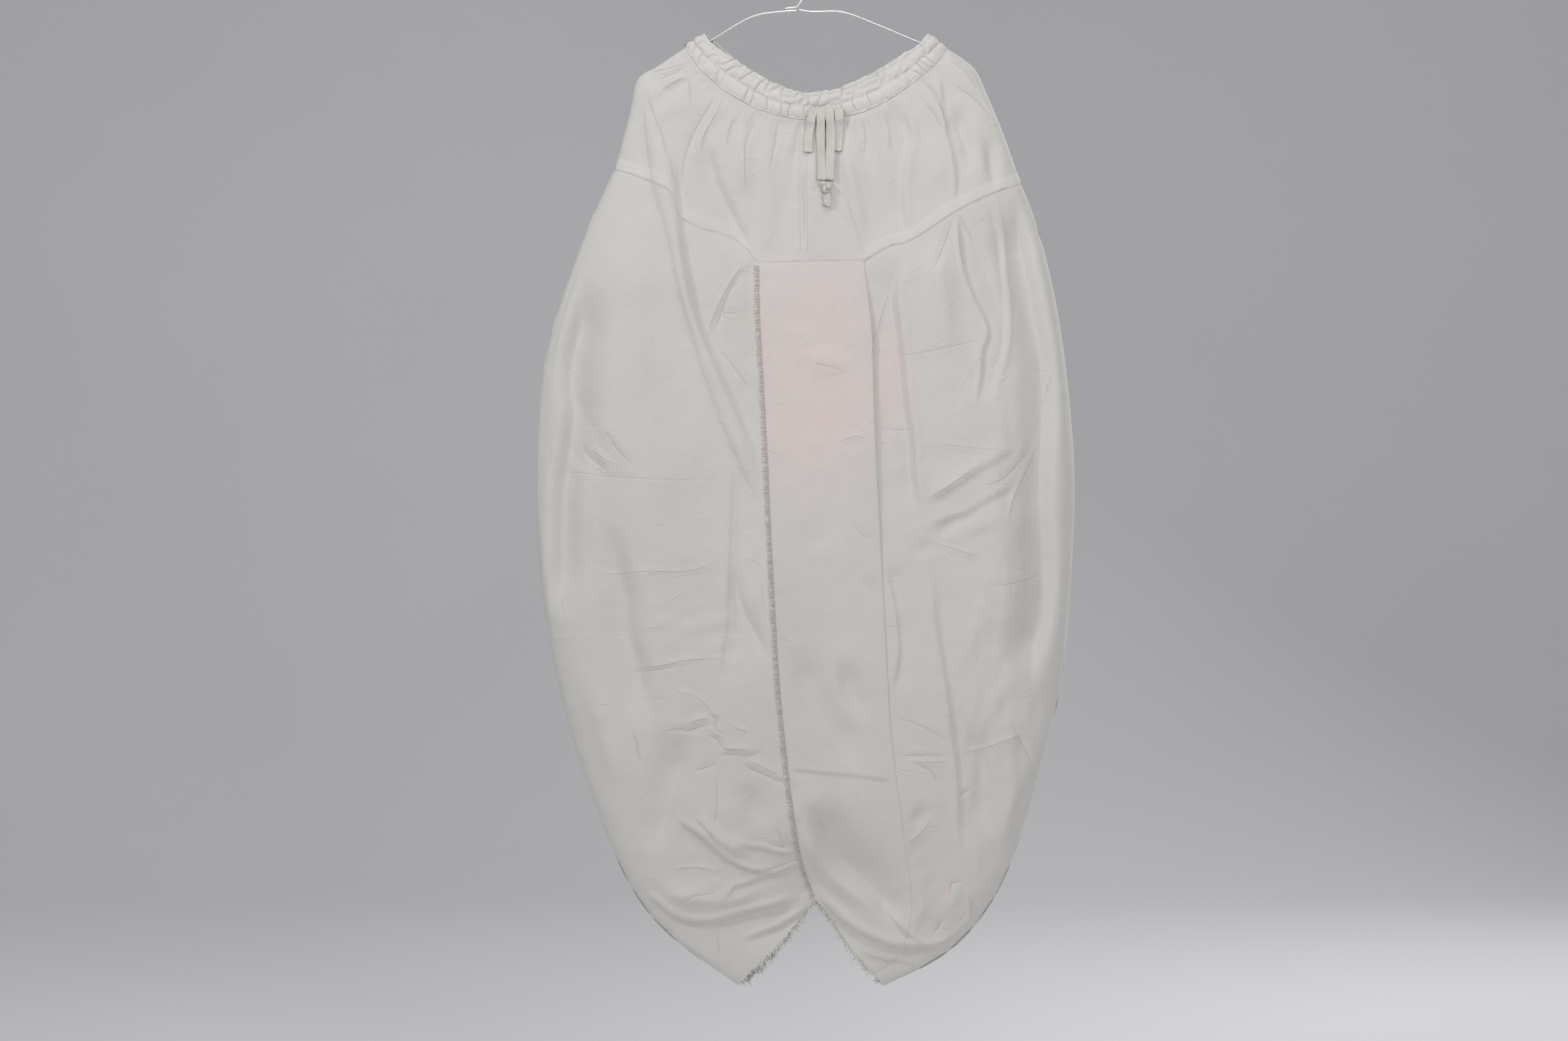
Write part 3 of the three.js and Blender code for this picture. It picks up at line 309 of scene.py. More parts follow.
# Creases of the pressed and crumpled cotton, sharp at their line and narrow.
Crease = namedtuple("Crease", "height width path")
FRONT_CREASES = [
    Crease(2.0, 4, [(-176, -157), (-171, -185), (-160, -216), (-155, -250)]),
    Crease(-2.4, 4, [(-122, -133), (-150, -142), (-183, -149)]),
    Crease(-2.2, 4, [(-127, -138), (-146, -148), (-170, -158)]),
    Crease(2.2, 4, [(-131, -151), (-149, -159), (-164, -170)]),
    Crease(2.0, 4, [(-129, -147), (-129, -164), (-127, -182)]),
    Crease(-2.6, 5, [(-99, -160), (-103, -179), (-116, -201), (-127, -222), (-135, -250), (-137, -285)]),
    Crease(2.2, 4, [(-92, -168), (-98, -190), (-112, -215), (-118, -240)]),
    Crease(-2.2, 4, [(-48, -193), (-64, -220), (-67, -246), (-65, -279), (-62, -294)]),
    Crease(-2.0, 4, [(-30, -203), (-35, -233), (-41, -262)]),
    Crease(1.8, 4, [(-78, -190), (-86, -214), (-90, -236)]),
    Crease(2.0, 5, [(-55, -360), (-73, -367), (-92, -397), (-105, -426), (-112, -450)]),
    Crease(-2.2, 5, [(-70, -372), (-84, -392), (-96, -424), (-104, -446)]),
    Crease(-1.8, 4, [(-98, -415), (-74, -417)]),
    Crease(-2.0, 7, [(-99, -450), (-75, -482), (-58, -507)]),
    Crease(-2.2, 4, [(-225, -541), (-207, -567), (-188, -587)]),
    Crease(-2.2, 4, [(-253, -558), (-238, -575), (-214, -594)]),
    Crease(1.8, 4, [(-240, -562), (-222, -576), (-204, -584)]),
    Crease(-1.2, 3, [(-298, -597), (-259, -592), (-213, -597), (-150, -600), (-81, -601)]),
    Crease(1.6, 3.5, [(-246, -701), (-213, -703), (-182, -700), (-136, -700), (-111, -694), (-86, -678)]),
    Crease(1.8, 3.5, [(-198, -809), (-160, -804), (-129, -798), (-79, -795)]),
    Crease(-1.6, 3.5, [(-196, -813), (-160, -809), (-129, -803)]),
    Crease(1.6, 4, [(-146, -829), (-119, -840), (-97, -860)]),
    Crease(-2.8, 5, [(-159, -879), (-141, -875), (-129, -877), (-114, -872), (-101, -869)]),
    Crease(2.4, 5, [(-136, -870), (-118, -864), (-103, -863)]),
    Crease(-2.2, 4, [(-114, -860), (-98, -863), (-100, -874), (-83, -885)]),
    Crease(2.0, 4, [(-88, -864), (-77, -873), (-62, -877)]),
    Crease(-2.2, 4, [(-112, -881), (-98, -886), (-92, -896), (-76, -901)]),
    Crease(-3.0, 4, [(-99, -905), (-81, -903), (-67, -905), (-47, -900)]),
    Crease(2.0, 5, [(-99, -898), (-80, -896), (-58, -897)]),
    Crease(-3.0, 4, [(-75, -911), (-56, -921), (-36, -930), (-16, -939)]),
    Crease(2.2, 5, [(-64, -908), (-48, -916), (-30, -925)]),
    Crease(-2.2, 6, [(-125, -922), (-108, -917), (-96, -911)]),
    Crease(-1.8, 4, [(-99, -917), (-98, -950), (-101, -994)]),
    Crease(-2.0, 4, [(-194, -870), (-187, -890), (-181, -921)]),
    Crease(-2.4, 5, [(-124, -972), (-113, -984), (-104, -995), (-102, -1004)]),
    Crease(-1.8, 3, [(-42, -1001), (-31, -1005), (-19, -1009)]),
    Crease(-2.0, 3, [(-34, -982), (-27, -998), (-20, -1009)]),
    Crease(2.0, 3, [(-26, -985), (-19, -998), (-9, -1005)]),
    Crease(-2.2, 4, [(-45, -1035), (-32, -1030), (-19, -1025), (-4, -1019)]),
    Crease(-1.6, 4, [(-141, -1073), (-125, -1061), (-103, -1057), (-96, -1048)]),
    Crease(1.8, 5, [(-150, -1030), (-120, -1028), (-92, -1034)]),
    Crease(-1.8, 4, [(-98, -1096), (-96, -1134)]),
    Crease(-2.2, 4, [(-130, -1122), (-111, -1137), (-96, -1147)]),
    Crease(1.8, 4, [(-138, -1086), (-128, -1096)]),
    Crease(-2.0, 3, [(-1, -245), (-2, -290), (-1, -345)]),
    Crease(1.6, 4, [(44, -281), (56, -323), (64, -350)]),
    Crease(-2.4, 4, [(123, -149), (149, -181), (156, -212)]),
    Crease(-2.0, 4, [(130, -178), (143, -196), (152, -216)]),
    Crease(2.0, 4, [(136, -168), (150, -190), (157, -220)]),
    Crease(-2.2, 4, [(158, -158), (193, -181), (210, -203)]),
    Crease(2.2, 4, [(154, -130), (175, -144), (189, -167)]),
    Crease(2.0, 4, [(86, -186), (92, -214), (92, -240)]),
    Crease(-2.0, 4, [(62, -196), (66, -222), (64, -250)]),
    Crease(-2.6, 5, [(166, -306), (149, -350), (134, -378)]),
    Crease(2.4, 4, [(168, -306), (169, -340), (174, -368)]),
    Crease(-2.2, 4, [(170, -306), (182, -331), (189, -343)]),
    Crease(2.0, 4, [(92, -386), (80, -430), (73, -456), (71, -476)]),
    Crease(-1.6, 3, [(75, -542), (95, -545), (121, -545)]),
    Crease(-1.4, 3, [(84, -459), (110, -462), (149, -456), (212, -441)]),
    Crease(1.3, 3, [(128, -562), (149, -560), (195, -565), (243, -568)]),
    Crease(2.4, 5, [(130, -622), (162, -603), (195, -579)]),
    Crease(-2.0, 4, [(182, -606), (218, -599), (260, -550)]),
    Crease(2.0, 4, [(220, -654), (228, -621), (240, -595), (259, -555)]),
    Crease(1.8, 4, [(132, -665), (161, -675), (198, -686)]),
    Crease(2.0, 4, [(275, -474), (267, -503), (262, -523)]),
    Crease(1.6, 5, [(30, -560), (56, -551), (70, -557)]),
    Crease(-1.8, 5, [(4, -472), (28, -476), (50, -485)]),
    Crease(-1.8, 5, [(50, -648), (62, -660), (72, -668)]),
    Crease(-1.8, 3, [(200, -718), (232, -714), (258, -706), (266, -700)]),
    Crease(-1.6, 3, [(93, -861), (128, -872), (161, -892)]),
    Crease(-2.0, 3, [(97, -905), (128, -904), (163, -904)]),
    Crease(1.8, 4, [(112, -909), (140, -911), (162, -909)]),
    Crease(-2.0, 4, [(120, -916), (136, -920), (148, -937)]),
    Crease(1.6, 4, [(104, -1003), (124, -992), (142, -968)]),
    Crease(2.4, 5, [(168, -901), (193, -897), (215, -889), (246, -876)]),
    Crease(-2.4, 4, [(226, -866), (234, -884), (245, -904), (257, -924)]),
    Crease(-2.2, 5, [(168, -949), (183, -942)]),
    Crease(-2.6, 4, [(177, -1045), (165, -1045), (160, -1050), (159, -1065)]),
    Crease(2.0, 4, [(176, -1052), (182, -1070), (180, -1090)]),
    Crease(-2.4, 4, [(152, -1087), (146, -1098), (141, -1105)]),
    Crease(-2.2, 3, [(131, -1132), (142, -1130), (154, -1126)]),
]
BACK_CREASES = [
    Crease(-1.3, 3, [(-240, -600), (-150, -604), (-70, -600)]),
    Crease(1.5, 3, [(84, -606), (170, -600), (255, -604)]),
    Crease(-1.6, 4, [(-230, -760), (-140, -752), (-60, -758)]),
    Crease(1.8, 4, [(60, -770), (150, -760), (240, -768)]),
    Crease(2.4, 5, [(-190, -640), (-150, -622), (-104, -612)]),
    Crease(-2.4, 5, [(110, -648), (150, -628), (206, -620)]),
    Crease(-2.6, 4, [(-130, -900), (-80, -912), (-30, -904)]),
    Crease(2.4, 4, [(60, -900), (110, -916), (160, -902)]),
    Crease(2.2, 5, [(-100, -960), (-60, -985), (-14, -990)]),
    Crease(-2.6, 4, [(36, -990), (80, -984), (124, -962)]),
    Crease(-2.2, 4, [(-130, -310), (-150, -350), (-166, -380)]),
    Crease(2.2, 4, [(-128, -310), (-132, -350), (-128, -390)]),
    Crease(-2.2, 4, [(152, -314), (172, -350), (190, -376)]),
    Crease(2.2, 4, [(150, -314), (152, -356), (146, -392)]),
    Crease(-2.0, 4, [(-60, -420), (-40, -470), (-8, -500)]),
    Crease(2.0, 4, [(70, -430), (50, -478), (16, -508)]),
    Crease(-2.2, 4, [(-118, -150), (-150, -158), (-176, -166)]),
    Crease(2.2, 4, [(140, -150), (168, -160), (196, -172)]),
]

# Crumpled stretches of cloth: a centre, its half-width and half-height, how deep they are, and the
# direction that the creases run in, in degrees from across.
Crumple = namedtuple("Crumple", "x z wide tall depth run")
FRONT_CRUMPLES = [
    Crumple(208, -850, 60, 210, 1.7, 82),
    Crumple(200, -540, 60, 150, 1.0, 96),
    Crumple(-70, -940, 50, 70, 0.8, 20),
    Crumple(-68, -430, 34, 90, 1.3, 60),
    Crumple(150, -660, 90, 50, 1.2, 24),
    Crumple(130, -1070, 50, 50, 1.6, 60),
    Crumple(120, -990, 26, 60, 1.2, 48),
    Crumple(-110, -1060, 80, 40, 1.5, 8),
    Crumple(-225, -570, 50, 50, 1.2, 130),
    Crumple(-120, -760, 60, 60, 0.9, 12),
    Crumple(96, -500, 14, 120, 1.2, 80),
    Crumple(170, -250, 50, 60, 1.2, 70),
    Crumple(-120, -230, 46, 60, 1.0, 110),
]
BACK_CRUMPLES = [
    Crumple(-150, -880, 90, 150, 1.8, 70),
    Crumple(160, -860, 90, 160, 1.8, 104),
    Crumple(0, -1000, 180, 70, 1.6, 6),
    Crumple(-160, -420, 70, 110, 1.2, 60),
    Crumple(170, -440, 70, 110, 1.2, 118),
]

# Gathers that run down from the band and die out in the yoke.
Gather = namedtuple("Gather", "height pitch reach")
YOKE_GATHERS = [Gather(2.4, 21, 52), Gather(1.7, 12.7, 30), Gather(1.2, 7.1, 17)]

# How much the allowance behind the yoke's foot shows in front, by place, and behind all the way.
SeamShows = namedtuple("SeamShows", "x share")
SEAM_SHOWS = [
    SeamShows(-215, 1), SeamShows(-165, 0.9), SeamShows(-140, 0.45), SeamShows(-62, 0.3),
    SeamShows(-50, 0), SeamShows(62, 0), SeamShows(72, 0.9), SeamShows(240, 0.9),
]
BACK_SEAM_SHOWS = 0.8

# All that is worked out for one side of the garment: -1 is its front and 1 its back.
Face = namedtuple("Face", "folds edges creases crumples ripple_seed crumple_seed")
FACES = {
    -1: Face(FRONT_FOLDS, FRONT_EDGES, FRONT_CREASES, FRONT_CRUMPLES, 10, 30),
    1: Face(BACK_FOLDS, BACK_EDGES, BACK_CREASES, BACK_CRUMPLES, 20, 60),
}

# Faint dye stains, pink and pale brown, each on one piece.
Stain = namedtuple("Stain", "node x z wide tall strength")
PINK_STAINS = [
    Stain("centre_panel", 8, -478, 90, 150, 0.40),
    Stain("centre_panel", 34, -522, 34, 44, 0.12),
    Stain("centre_panel", 26, -414, 36, 30, 0.10),
    Stain("centre_panel", -4, -560, 48, 40, 0.10),
    Stain("leg_right", 92, -490, 20, 70, 0.40),
    Stain("leg_right", 151, -1050, 11, 26, 0.28),
    Stain("leg_right", 157, -850, 8, 70, 0.20),
]
BROWN_STAINS = [
    Stain("centre_panel", 70, -709, 7, 9, 0.5),
    Stain("centre_panel", -39, -694, 5, 9, 0.5),
    Stain("leg_left", -74, -430, 16, 40, 0.35),
    Stain("centre_panel", -10, -760, 30, 60, 0.25),
    Stain("leg_left", -60, -960, 30, 50, 0.30),
    Stain("leg_right", 120, -990, 26, 50, 0.25),
]


# ---- curves and distances ----------------------------------------------------------------------

def smooth(t):
    """0 below 0, 1 above 1, and eased between them."""
    c = np.clip(t, 0, 1)
    return c * c * (3 - 2 * c)


def unit(vectors):
    """Vectors of length 1, along the last axis."""
    return vectors / np.maximum(np.linalg.norm(vectors, axis=-1, keepdims=True), 1e-9)


def length_of(line):
    return np.linalg.norm(np.diff(line, axis=0), axis=1).sum()


def spline(points, count):
    """Points at even lengths along a smooth curve through the given ones."""
    p = np.asarray(points, float)
    t = np.linspace(0, len(p) - 1, SPLINE_STEPS + 1)
    i = np.minimum(t.astype(int), len(p) - 2)
    w = (t - i)[:, None]
    before, after = p[np.maximum(i - 1, 0)], p[np.minimum(i + 2, len(p) - 1)]
    start, end = (p[i + 1] - before) / 2, (after - p[i]) / 2
    fine = (2 * p[i] - 2 * p[i + 1] + start + end) * w**3
    fine += (3 * p[i + 1] - 3 * p[i] - 2 * start - end) * w**2 + start * w + p[i]
    return even(fine, count)


def even(line, count):
    """The same line through count + 1 points at even lengths."""
    run = np.concatenate([[0], np.cumsum(np.linalg.norm(np.diff(line, axis=0), axis=1))])
    at = np.linspace(0, run[-1], count + 1)
    return np.stack([np.interp(at, run, line[:, k]) for k in range(line.shape[1])], axis=1)


def read_at(line, at):
    """Places between the points of a line, by the points' numbers."""
    numbers = np.arange(len(line))
    return np.stack([np.interp(at, numbers, line[:, k]) for k in range(line.shape[1])], axis=-1)


class Curve:
    """A named line of the front view, read at shares of its length."""

    def __init__(self, points):
        self.points = spline(points, CURVE_STEPS)

    def __call__(self, share):
        return read_at(self.points, np.clip(share, 0, 1) * CURVE_STEPS)

    def back(self, share):
        return self(1 - np.asarray(share))


CURVES = {name: Curve(points) for name, points in LINES.items()}
Near = namedtuple("Near", "distance side away run total")


def nearest(line, x, z):
    """Nearest place of a polyline to each point. side is +1 to the right of a path that runs down, away
    leads from that place to the point, and run is how far along the line it is."""
    step = np.diff(line, axis=0)
    length = np.hypot(*step.T)
    from_x, from_z = x[:, None] - line[:-1, 0], z[:, None] - line[:-1, 1]
    t = np.clip((from_x * step[:, 0] + from_z * step[:, 1]) / length**2, 0, 1)
    off_x, off_z = from_x - t * step[:, 0], from_z - t * step[:, 1]
    far = np.hypot(off_x, off_z)
    best = (np.arange(len(x)), far.argmin(1))
    turn = step[best[1], 0] * from_z[best] - step[best[1], 1] * from_x[best]
    run = np.concatenate([[0], np.cumsum(length)])
    away = np.stack([off_x[best], off_z[best]], axis=1)
    place = run[best[1]] + t[best] * length[best[1]]
    return Near(far[best], np.where(turn < 0, -1, 1), away, place, run[-1])


def along(*names, count=24):
    """One polyline through several lines that follow each other."""
    first, *rest = (spline(LINES[name], count) for name in names)
    return np.concatenate([first, *(line[1:] for line in rest)])


OUTLINES = [
    along("band_fold_left", "side_yoke_left", "side_leg_left"),
    along("band_fold_right", "side_yoke_right", "side_leg_right"),
]
BAND_FOOT = along("band_foot_left", "band_foot_right")
YOKE_FOOT = along("yoke_foot_left", "yoke_foot_centre", "yoke_foot_right")
YOKE_FOOT_BACK = along("yoke_foot_back_left", "yoke_foot_back_right")
PANEL_EDGE = along("panel_right")


# ---- the form of the body ----------------------------------------------------------------------

def depth_at(z):
    """Half depth and rounding at each height, eased from row to row of DEPTHS."""
    heights = np.array([row.z for row in DEPTHS])
    k = np.clip(np.searchsorted(-heights, -z, side="left") - 1, 0, len(DEPTHS) - 2)
    t = smooth((heights[k] - z) / (heights[k] - heights[k + 1]))
    half, rounding = (np.array([row[field] for row in DEPTHS], float) for field in (1, 2))
    return half[k] + t * (half[k + 1] - half[k]), rounding[k] + t * (rounding[k + 1] - rounding[k])


def body_at(x, z, side):
    """Depth and outward direction of the smooth form, and the distance in from the outline."""
    left, right = (nearest(line, x, z) for line in OUTLINES)
    is_left = left.distance < right.distance
    distance = np.where(is_left, left.distance, right.distance)
    away = np.where(is_left[:, None], left.away, right.away)
    half, rounding = depth_at(z)
    angle = np.arccos(1 - np.minimum(1, distance / rounding))
    pinch = 1 - np.exp(-((np.hypot(x - NOTCH[0], z - NOTCH[1]) / CROTCH_PINCH) ** 2))
    floor = MIN_HALF_DEPTH * np.minimum(1, distance / (2 * MIN_HALF_DEPTH))
    depth = np.maximum(floor, half * np.sin(angle) * pinch)
    outward = -away / np.maximum(distance, 1e-6)[:, None]
    in_plane = (half * np.cos(angle))[:, None] * outward
    normal = np.stack([in_plane[:, 0], side * rounding * np.sin(angle), in_plane[:, 1]], axis=1)
    return depth, unit(normal), distance


def traced(points):
    """A smooth path through the points, with a place about every 5 mm."""
    return spline(points, int(length_of(points) / PATH_STEP) + 4)


def within(path, reach, x, z):
    """Numbers of the points in the path's box, which is wider by reach."""
    low, high = path.min(0) - reach, path.max(0) + reach
    return np.nonzero((x > low[0]) & (x < high[0]) & (z > low[1]) & (z < high[1]))[0]


def ends(near, fade):
    """Grows from 0 at each end of a path to 1 over the length of fade."""
    return smooth(near.run / fade) * smooth((near.total - near.run) / fade)


def fold_lift(folds, x, z):
    """The soft ridges and troughs."""
    lift = np.zeros(len(x))
    for fold in folds:
        path = traced(fold.path)
        here = within(path, 3 * max(fold.left, fold.right), x, z)
        near = nearest(path, x[here], z[here])
        width = np.where(near.side > 0, fold.right, fold.left)
        lift[here] += fold.height * ends(near, fold.fade) * np.exp(-((near.distance / width) ** 2))
    return lift


def edge_lift(edges, x, z):
    """The roll of each folded edge, the crisp step beside it, and the cloth that sinks under it."""
    lift = np.zeros(len(x))
    for edge in edges:
        path = traced(edge.path)
        here = within(path, 4 * edge.reach, x, z)
        near = nearest(path, x[here], z[here])
        d = near.distance
        roll = edge.lip * np.exp(-(((d - edge.round) / edge.round) ** 2))
        root = edge.lip * math.exp(-1) * np.exp(-d / EDGE_STEP)
        deep = EDGE_DEPTH * min(1, edge.lip)
        crisp = deep * smooth(d / EDGE_STEP) * np.exp(-d / EDGE_REACH)
        sunk = edge.drop * smooth(d / (SINK_WIDTH * edge.round)) * np.exp(-d / edge.reach)
        profile = np.where(near.side == edge.toward, root - crisp - sunk, roll)
        lift[here] += ends(near, edge.fade) * profile
    return lift


def crease_lift(creases, x, z):
    """Short creases: sharp at their line, uneven along it, and with a low swell on one side."""
    lift = np.zeros(len(x))
    for k, crease in enumerate(creases):
        path = traced(crease.path)
        here = within(path, 5 * crease.width, x, z)
        near = nearest(path, x[here], z[here])
        uneven = 0.75 + 0.25 * np.sin(near.run / 9 + 2.4 * k)
        beside = (near.distance * near.side - 1.5 * crease.width) / (1.3 * crease.width)
        profile = np.exp(-((near.distance / (0.55 * crease.width)) ** 1.3))
        profile -= 0.3 * np.exp(-(beside**2))
        fading = ends(near, CREASE_FADE * near.total)
        lift[here] += CREASE_SOFT * crease.height * uneven * fading * profile
    return lift


def crease_lines(creases, x, z):
    """The signed distance from each point to the nearest crease, and how far that one is pressed."""
    away, pressed = np.full(len(x), float(LINE_REACH)), np.zeros(len(x))
    for crease in creases:
        path = traced(crease.path)
        here = within(path, LINE_REACH, x, z)
        near = nearest(path, x[here], z[here])
        closer = near.distance < np.abs(away[here])
        at = here[closer]
        away[at] = (near.distance * near.side)[closer]
        fading = ends(near, CREASE_FADE * near.total) * smooth((LINE_REACH - near.distance) / 3)
        strength = np.clip(crease.height / LINE_FULL, -1, 1)
        pressed[at] = (strength * fading)[closer]
    return away, pressed


# ---- uneven cloth ------------------------------------------------------------------------------

# The soft unevenness of hung cotton, as layers of noise: each with its height, the size of its
# cells, the direction in degrees and the times that it is drawn out, where it is read, and whether
# it runs in sharp creases.
Uneven = namedtuple("Uneven", "height cell run stretch shift_x shift_z sharp")
RIPPLES = [
    Uneven(1.5, 48, 82, 3.2, 0, 0, False),
    Uneven(0.7, 34, 0, 1, 9, 0, False),
    Uneven(0.35, 15, 0, 1, 0, 5, False),
    Uneven(0.12, 7, 0, 1, 0, 0, False),
    Uneven(0.35, 26, 82, 3.2, 0, 0, True),
    Uneven(0.3, 31, 24, 1.7, 0, 0, True),
]


def noise(x, z, cell, seed):
    """Smooth random heights from -1 to 1, a fresh one every cell."""
    table = np.random.default_rng(seed).uniform(-1, 1, (NOISE_CELLS, NOISE_CELLS))
    at_x, at_z = x / cell, z / cell
    i, j = np.floor(at_x).astype(int), np.floor(at_z).astype(int)
    u, v = smooth(at_x - i), smooth(at_z - j)
    corner = [[table[(i + a) % NOISE_CELLS, (j + b) % NOISE_CELLS] for b in (0, 1)] for a in (0, 1)]
    near = corner[0][0] * (1 - v) + corner[0][1] * v
    far = corner[1][0] * (1 - v) + corner[1][1] * v
    return near * (1 - u) + far * u


def turned(x, z, degrees, stretch):
    """Places turned and squeezed, so that noise read there runs in long creases."""
    c, s = math.cos(math.radians(degrees)), math.sin(math.radians(degrees))
    return (x * c + z * s) / stretch, z * c - x * s


def creasing(x, z, cell, seed):
    """Noise with sharp creases where it crosses zero."""
    return 1 - np.abs(noise(x, z, cell, seed)) ** 0.7


def ripple(x, z, side):
    """The unevenness all over."""
    lift = np.zeros(len(x))
    for k, layer in enumerate(RIPPLES):
        pattern = creasing if layer.sharp else noise
        at_x, at_z = turned(x + layer.shift_x, z + layer.shift_z, layer.run, layer.stretch)
        lift += layer.height * pattern(at_x, at_z, layer.cell, FACES[side].ripple_seed + k)
    return lift


def crumple_lift(x, z, side):
    """The crumpled stretches, each with creases in its own direction and across it."""
    lift = np.zeros(len(x))
    seed = FACES[side].crumple_seed
    for k, spot in enumerate(FACES[side].crumples):
        weight = np.exp(-(((x - spot.x) / spot.wide) ** 2 + ((z - spot.z) / spot.tall) ** 2))
        run_x, run_z = turned(x, z, spot.run, 2.6)
        cross_x, cross_z = turned(x, z, spot.run + 34, 1.8)
        pattern = 0.9 * noise(run_x, run_z, 12, seed + k)
        pattern += 0.8 * creasing(run_x, run_z, 19, seed + 8 + k)
        pattern += 0.4 * creasing(cross_x, cross_z, 15, seed + 16 + k)
        lift += spot.depth * weight * (pattern - 0.8)
    return lift


def gather_lift(near):
    """The gathers under the band, from soft wide ones to fine short ones, each of its own length."""
    lift = np.zeros(len(near.run))
    for k, gather in enumerate(YOKE_GATHERS):
        reach = gather.reach * (1 + 0.55 * noise(near.run, 0 * near.run, 27, GATHER_SEED + k))
        drift = 0.8 * np.sin(near.run / 37 + 1.7 * k) + near.distance / 130
        wave = np.cos(2 * np.pi * near.run / gather.pitch + drift)
        slanting = near.run + near.distance / 7
        sharp = creasing(slanting, near.distance / 9, gather.pitch, GATHER_SEED + 5 + k) - 0.6
        strength = 0.65 + 0.55 * noise(near.run, 0 * near.run + 40, 38, GATHER_SEED + 8 + k)
        lift += gather.height * strength * (0.4 * wave + 1.1 * sharp) * np.exp(-near.distance / reach)
    return lift


def seam_shows(x, side):
    """How much the allowance behind a yoke's foot shows, by its place across the garment."""
    if side > 0:
        return np.full(len(x), BACK_SEAM_SHOWS)
    return np.interp(x, [row.x for row in SEAM_SHOWS], [row.share for row in SEAM_SHOWS])


def seam_lift(x, z, side):
    """The pressed line of the yoke seam, and the allowance that stands up behind the yoke."""
    near = nearest(YOKE_FOOT if side < 0 else YOKE_FOOT_BACK, x, z)
    above = smooth(near.distance / 1.5) * smooth((SEAM_BAND - near.distance) / 2)
    pucker = 0.5 * noise(near.run, near.distance / 3, 7, PUCKER_SEED) * np.exp(-near.distance / 9)
    allowance = np.where(near.side > 0, 0.5 * above * seam_shows(x, side), 0)
    return allowance + pucker * smooth(near.distance / 1.5)


def lift_at(x, z, side, edge):
    """All that lifts the cloth off its smooth form. It dies out at the outline and at the band."""
    face = FACES[side]
    near_band = nearest(BAND_FOOT, x, z)
    from_band = smooth(near_band.distance / BAND_CALM)
    broad = fold_lift(face.folds, x, z) + edge_lift(face.edges, x, z) + gather_lift(near_band)
    fine = crease_lift(face.creases, x, z) + crumple_lift(x, z, side) + ripple(x, z, side)
    held = smooth(edge / EDGE_CALM) * broad + smooth(edge / FINE_CALM) * fine
    return from_band * held + seam_lift(x, z, side)


def cloth_at(x, z, side, extra=0.0):
    """Points of the cloth's outer face over the front view, in millimetres."""
    x, z = np.asarray(x, float).ravel(), np.asarray(z, float).ravel()
    depth, normal, edge = body_at(x, z, side)
    lift = lift_at(x, z, side, edge) + extra
    return np.stack([x, side * depth, z], axis=1) + normal * np.asarray(lift)[:, None]


# ---- meshes ------------------------------------------------------------------------------------

def mesh_object(name, points, face_groups, material):
    """A mesh from points in millimetres and arrays of faces, each array with faces of one size."""
    groups = [np.asarray(group, np.int32) for group in face_groups]
    corners = np.concatenate([group.ravel() for group in groups])
    sizes = np.concatenate([np.full(len(group), group.shape[1]) for group in groups])
    starts = np.cumsum(sizes) - sizes
    mesh = bpy.data.meshes.new(name)
    mesh.vertices.add(len(points))
    mesh.vertices.foreach_set("co", (np.asarray(points, float) * MM).ravel().astype(np.float32))
    mesh.loops.add(len(corners))
    mesh.loops.foreach_set("vertex_index", corners)
    mesh.polygons.add(len(sizes))
    mesh.polygons.foreach_set("loop_start", starts.astype(np.int32))
    mesh.update(calc_edges=True)
    mesh.validate()
    mesh.polygons.foreach_set("use_smooth", np.full(len(mesh.polygons), True))
    obj = bpy.data.objects.new(name, mesh)
    bpy.context.scene.collection.objects.link(obj)
    mesh.materials.append(material)
    return obj


def store(obj, name, kind, values):
    """Keeps a number or vector for each point of a mesh, for its material to read."""
    attribute = obj.data.attributes.new(name, kind, "POINT")
    field = "vector" if kind == "FLOAT_VECTOR" else "value"
    attribute.data.foreach_set(field, np.asarray(values, np.float32).ravel())


def grid_normals(grid, ring):
    """Outward unit normals of a grid of points, columns first."""
    if ring:
        across = np.roll(grid, -1, axis=0) - np.roll(grid, 1, axis=0)
    else:
        across = np.gradient(grid, axis=0)
    return unit(np.cross(np.gradient(grid, axis=1), across))


def cells(number):
    """The quads of a grid of point numbers."""
    quads = [number[:-1, :-1], number[:-1, 1:], number[1:, 1:], number[1:, :-1]]
    return np.stack(quads, axis=-1).reshape(-1, 4)


def every_second(count):
    return np.unique(np.append(np.arange(0, count, 2), count - 1))


def rim(fine, coarse, kept):
    """Triangles that close a wall's edge, from its fine outer points to its kept inner ones."""
    made = []
    for k, (start, end) in enumerate(zip(kept[:-1], kept[1:])):
        made += [(fine[j], coarse[k], fine[j + 1]) for j in range(start, end)]
        made.append((fine[end], coarse[k], coarse[k + 1]))
    return np.array(made)[:, ::-1]


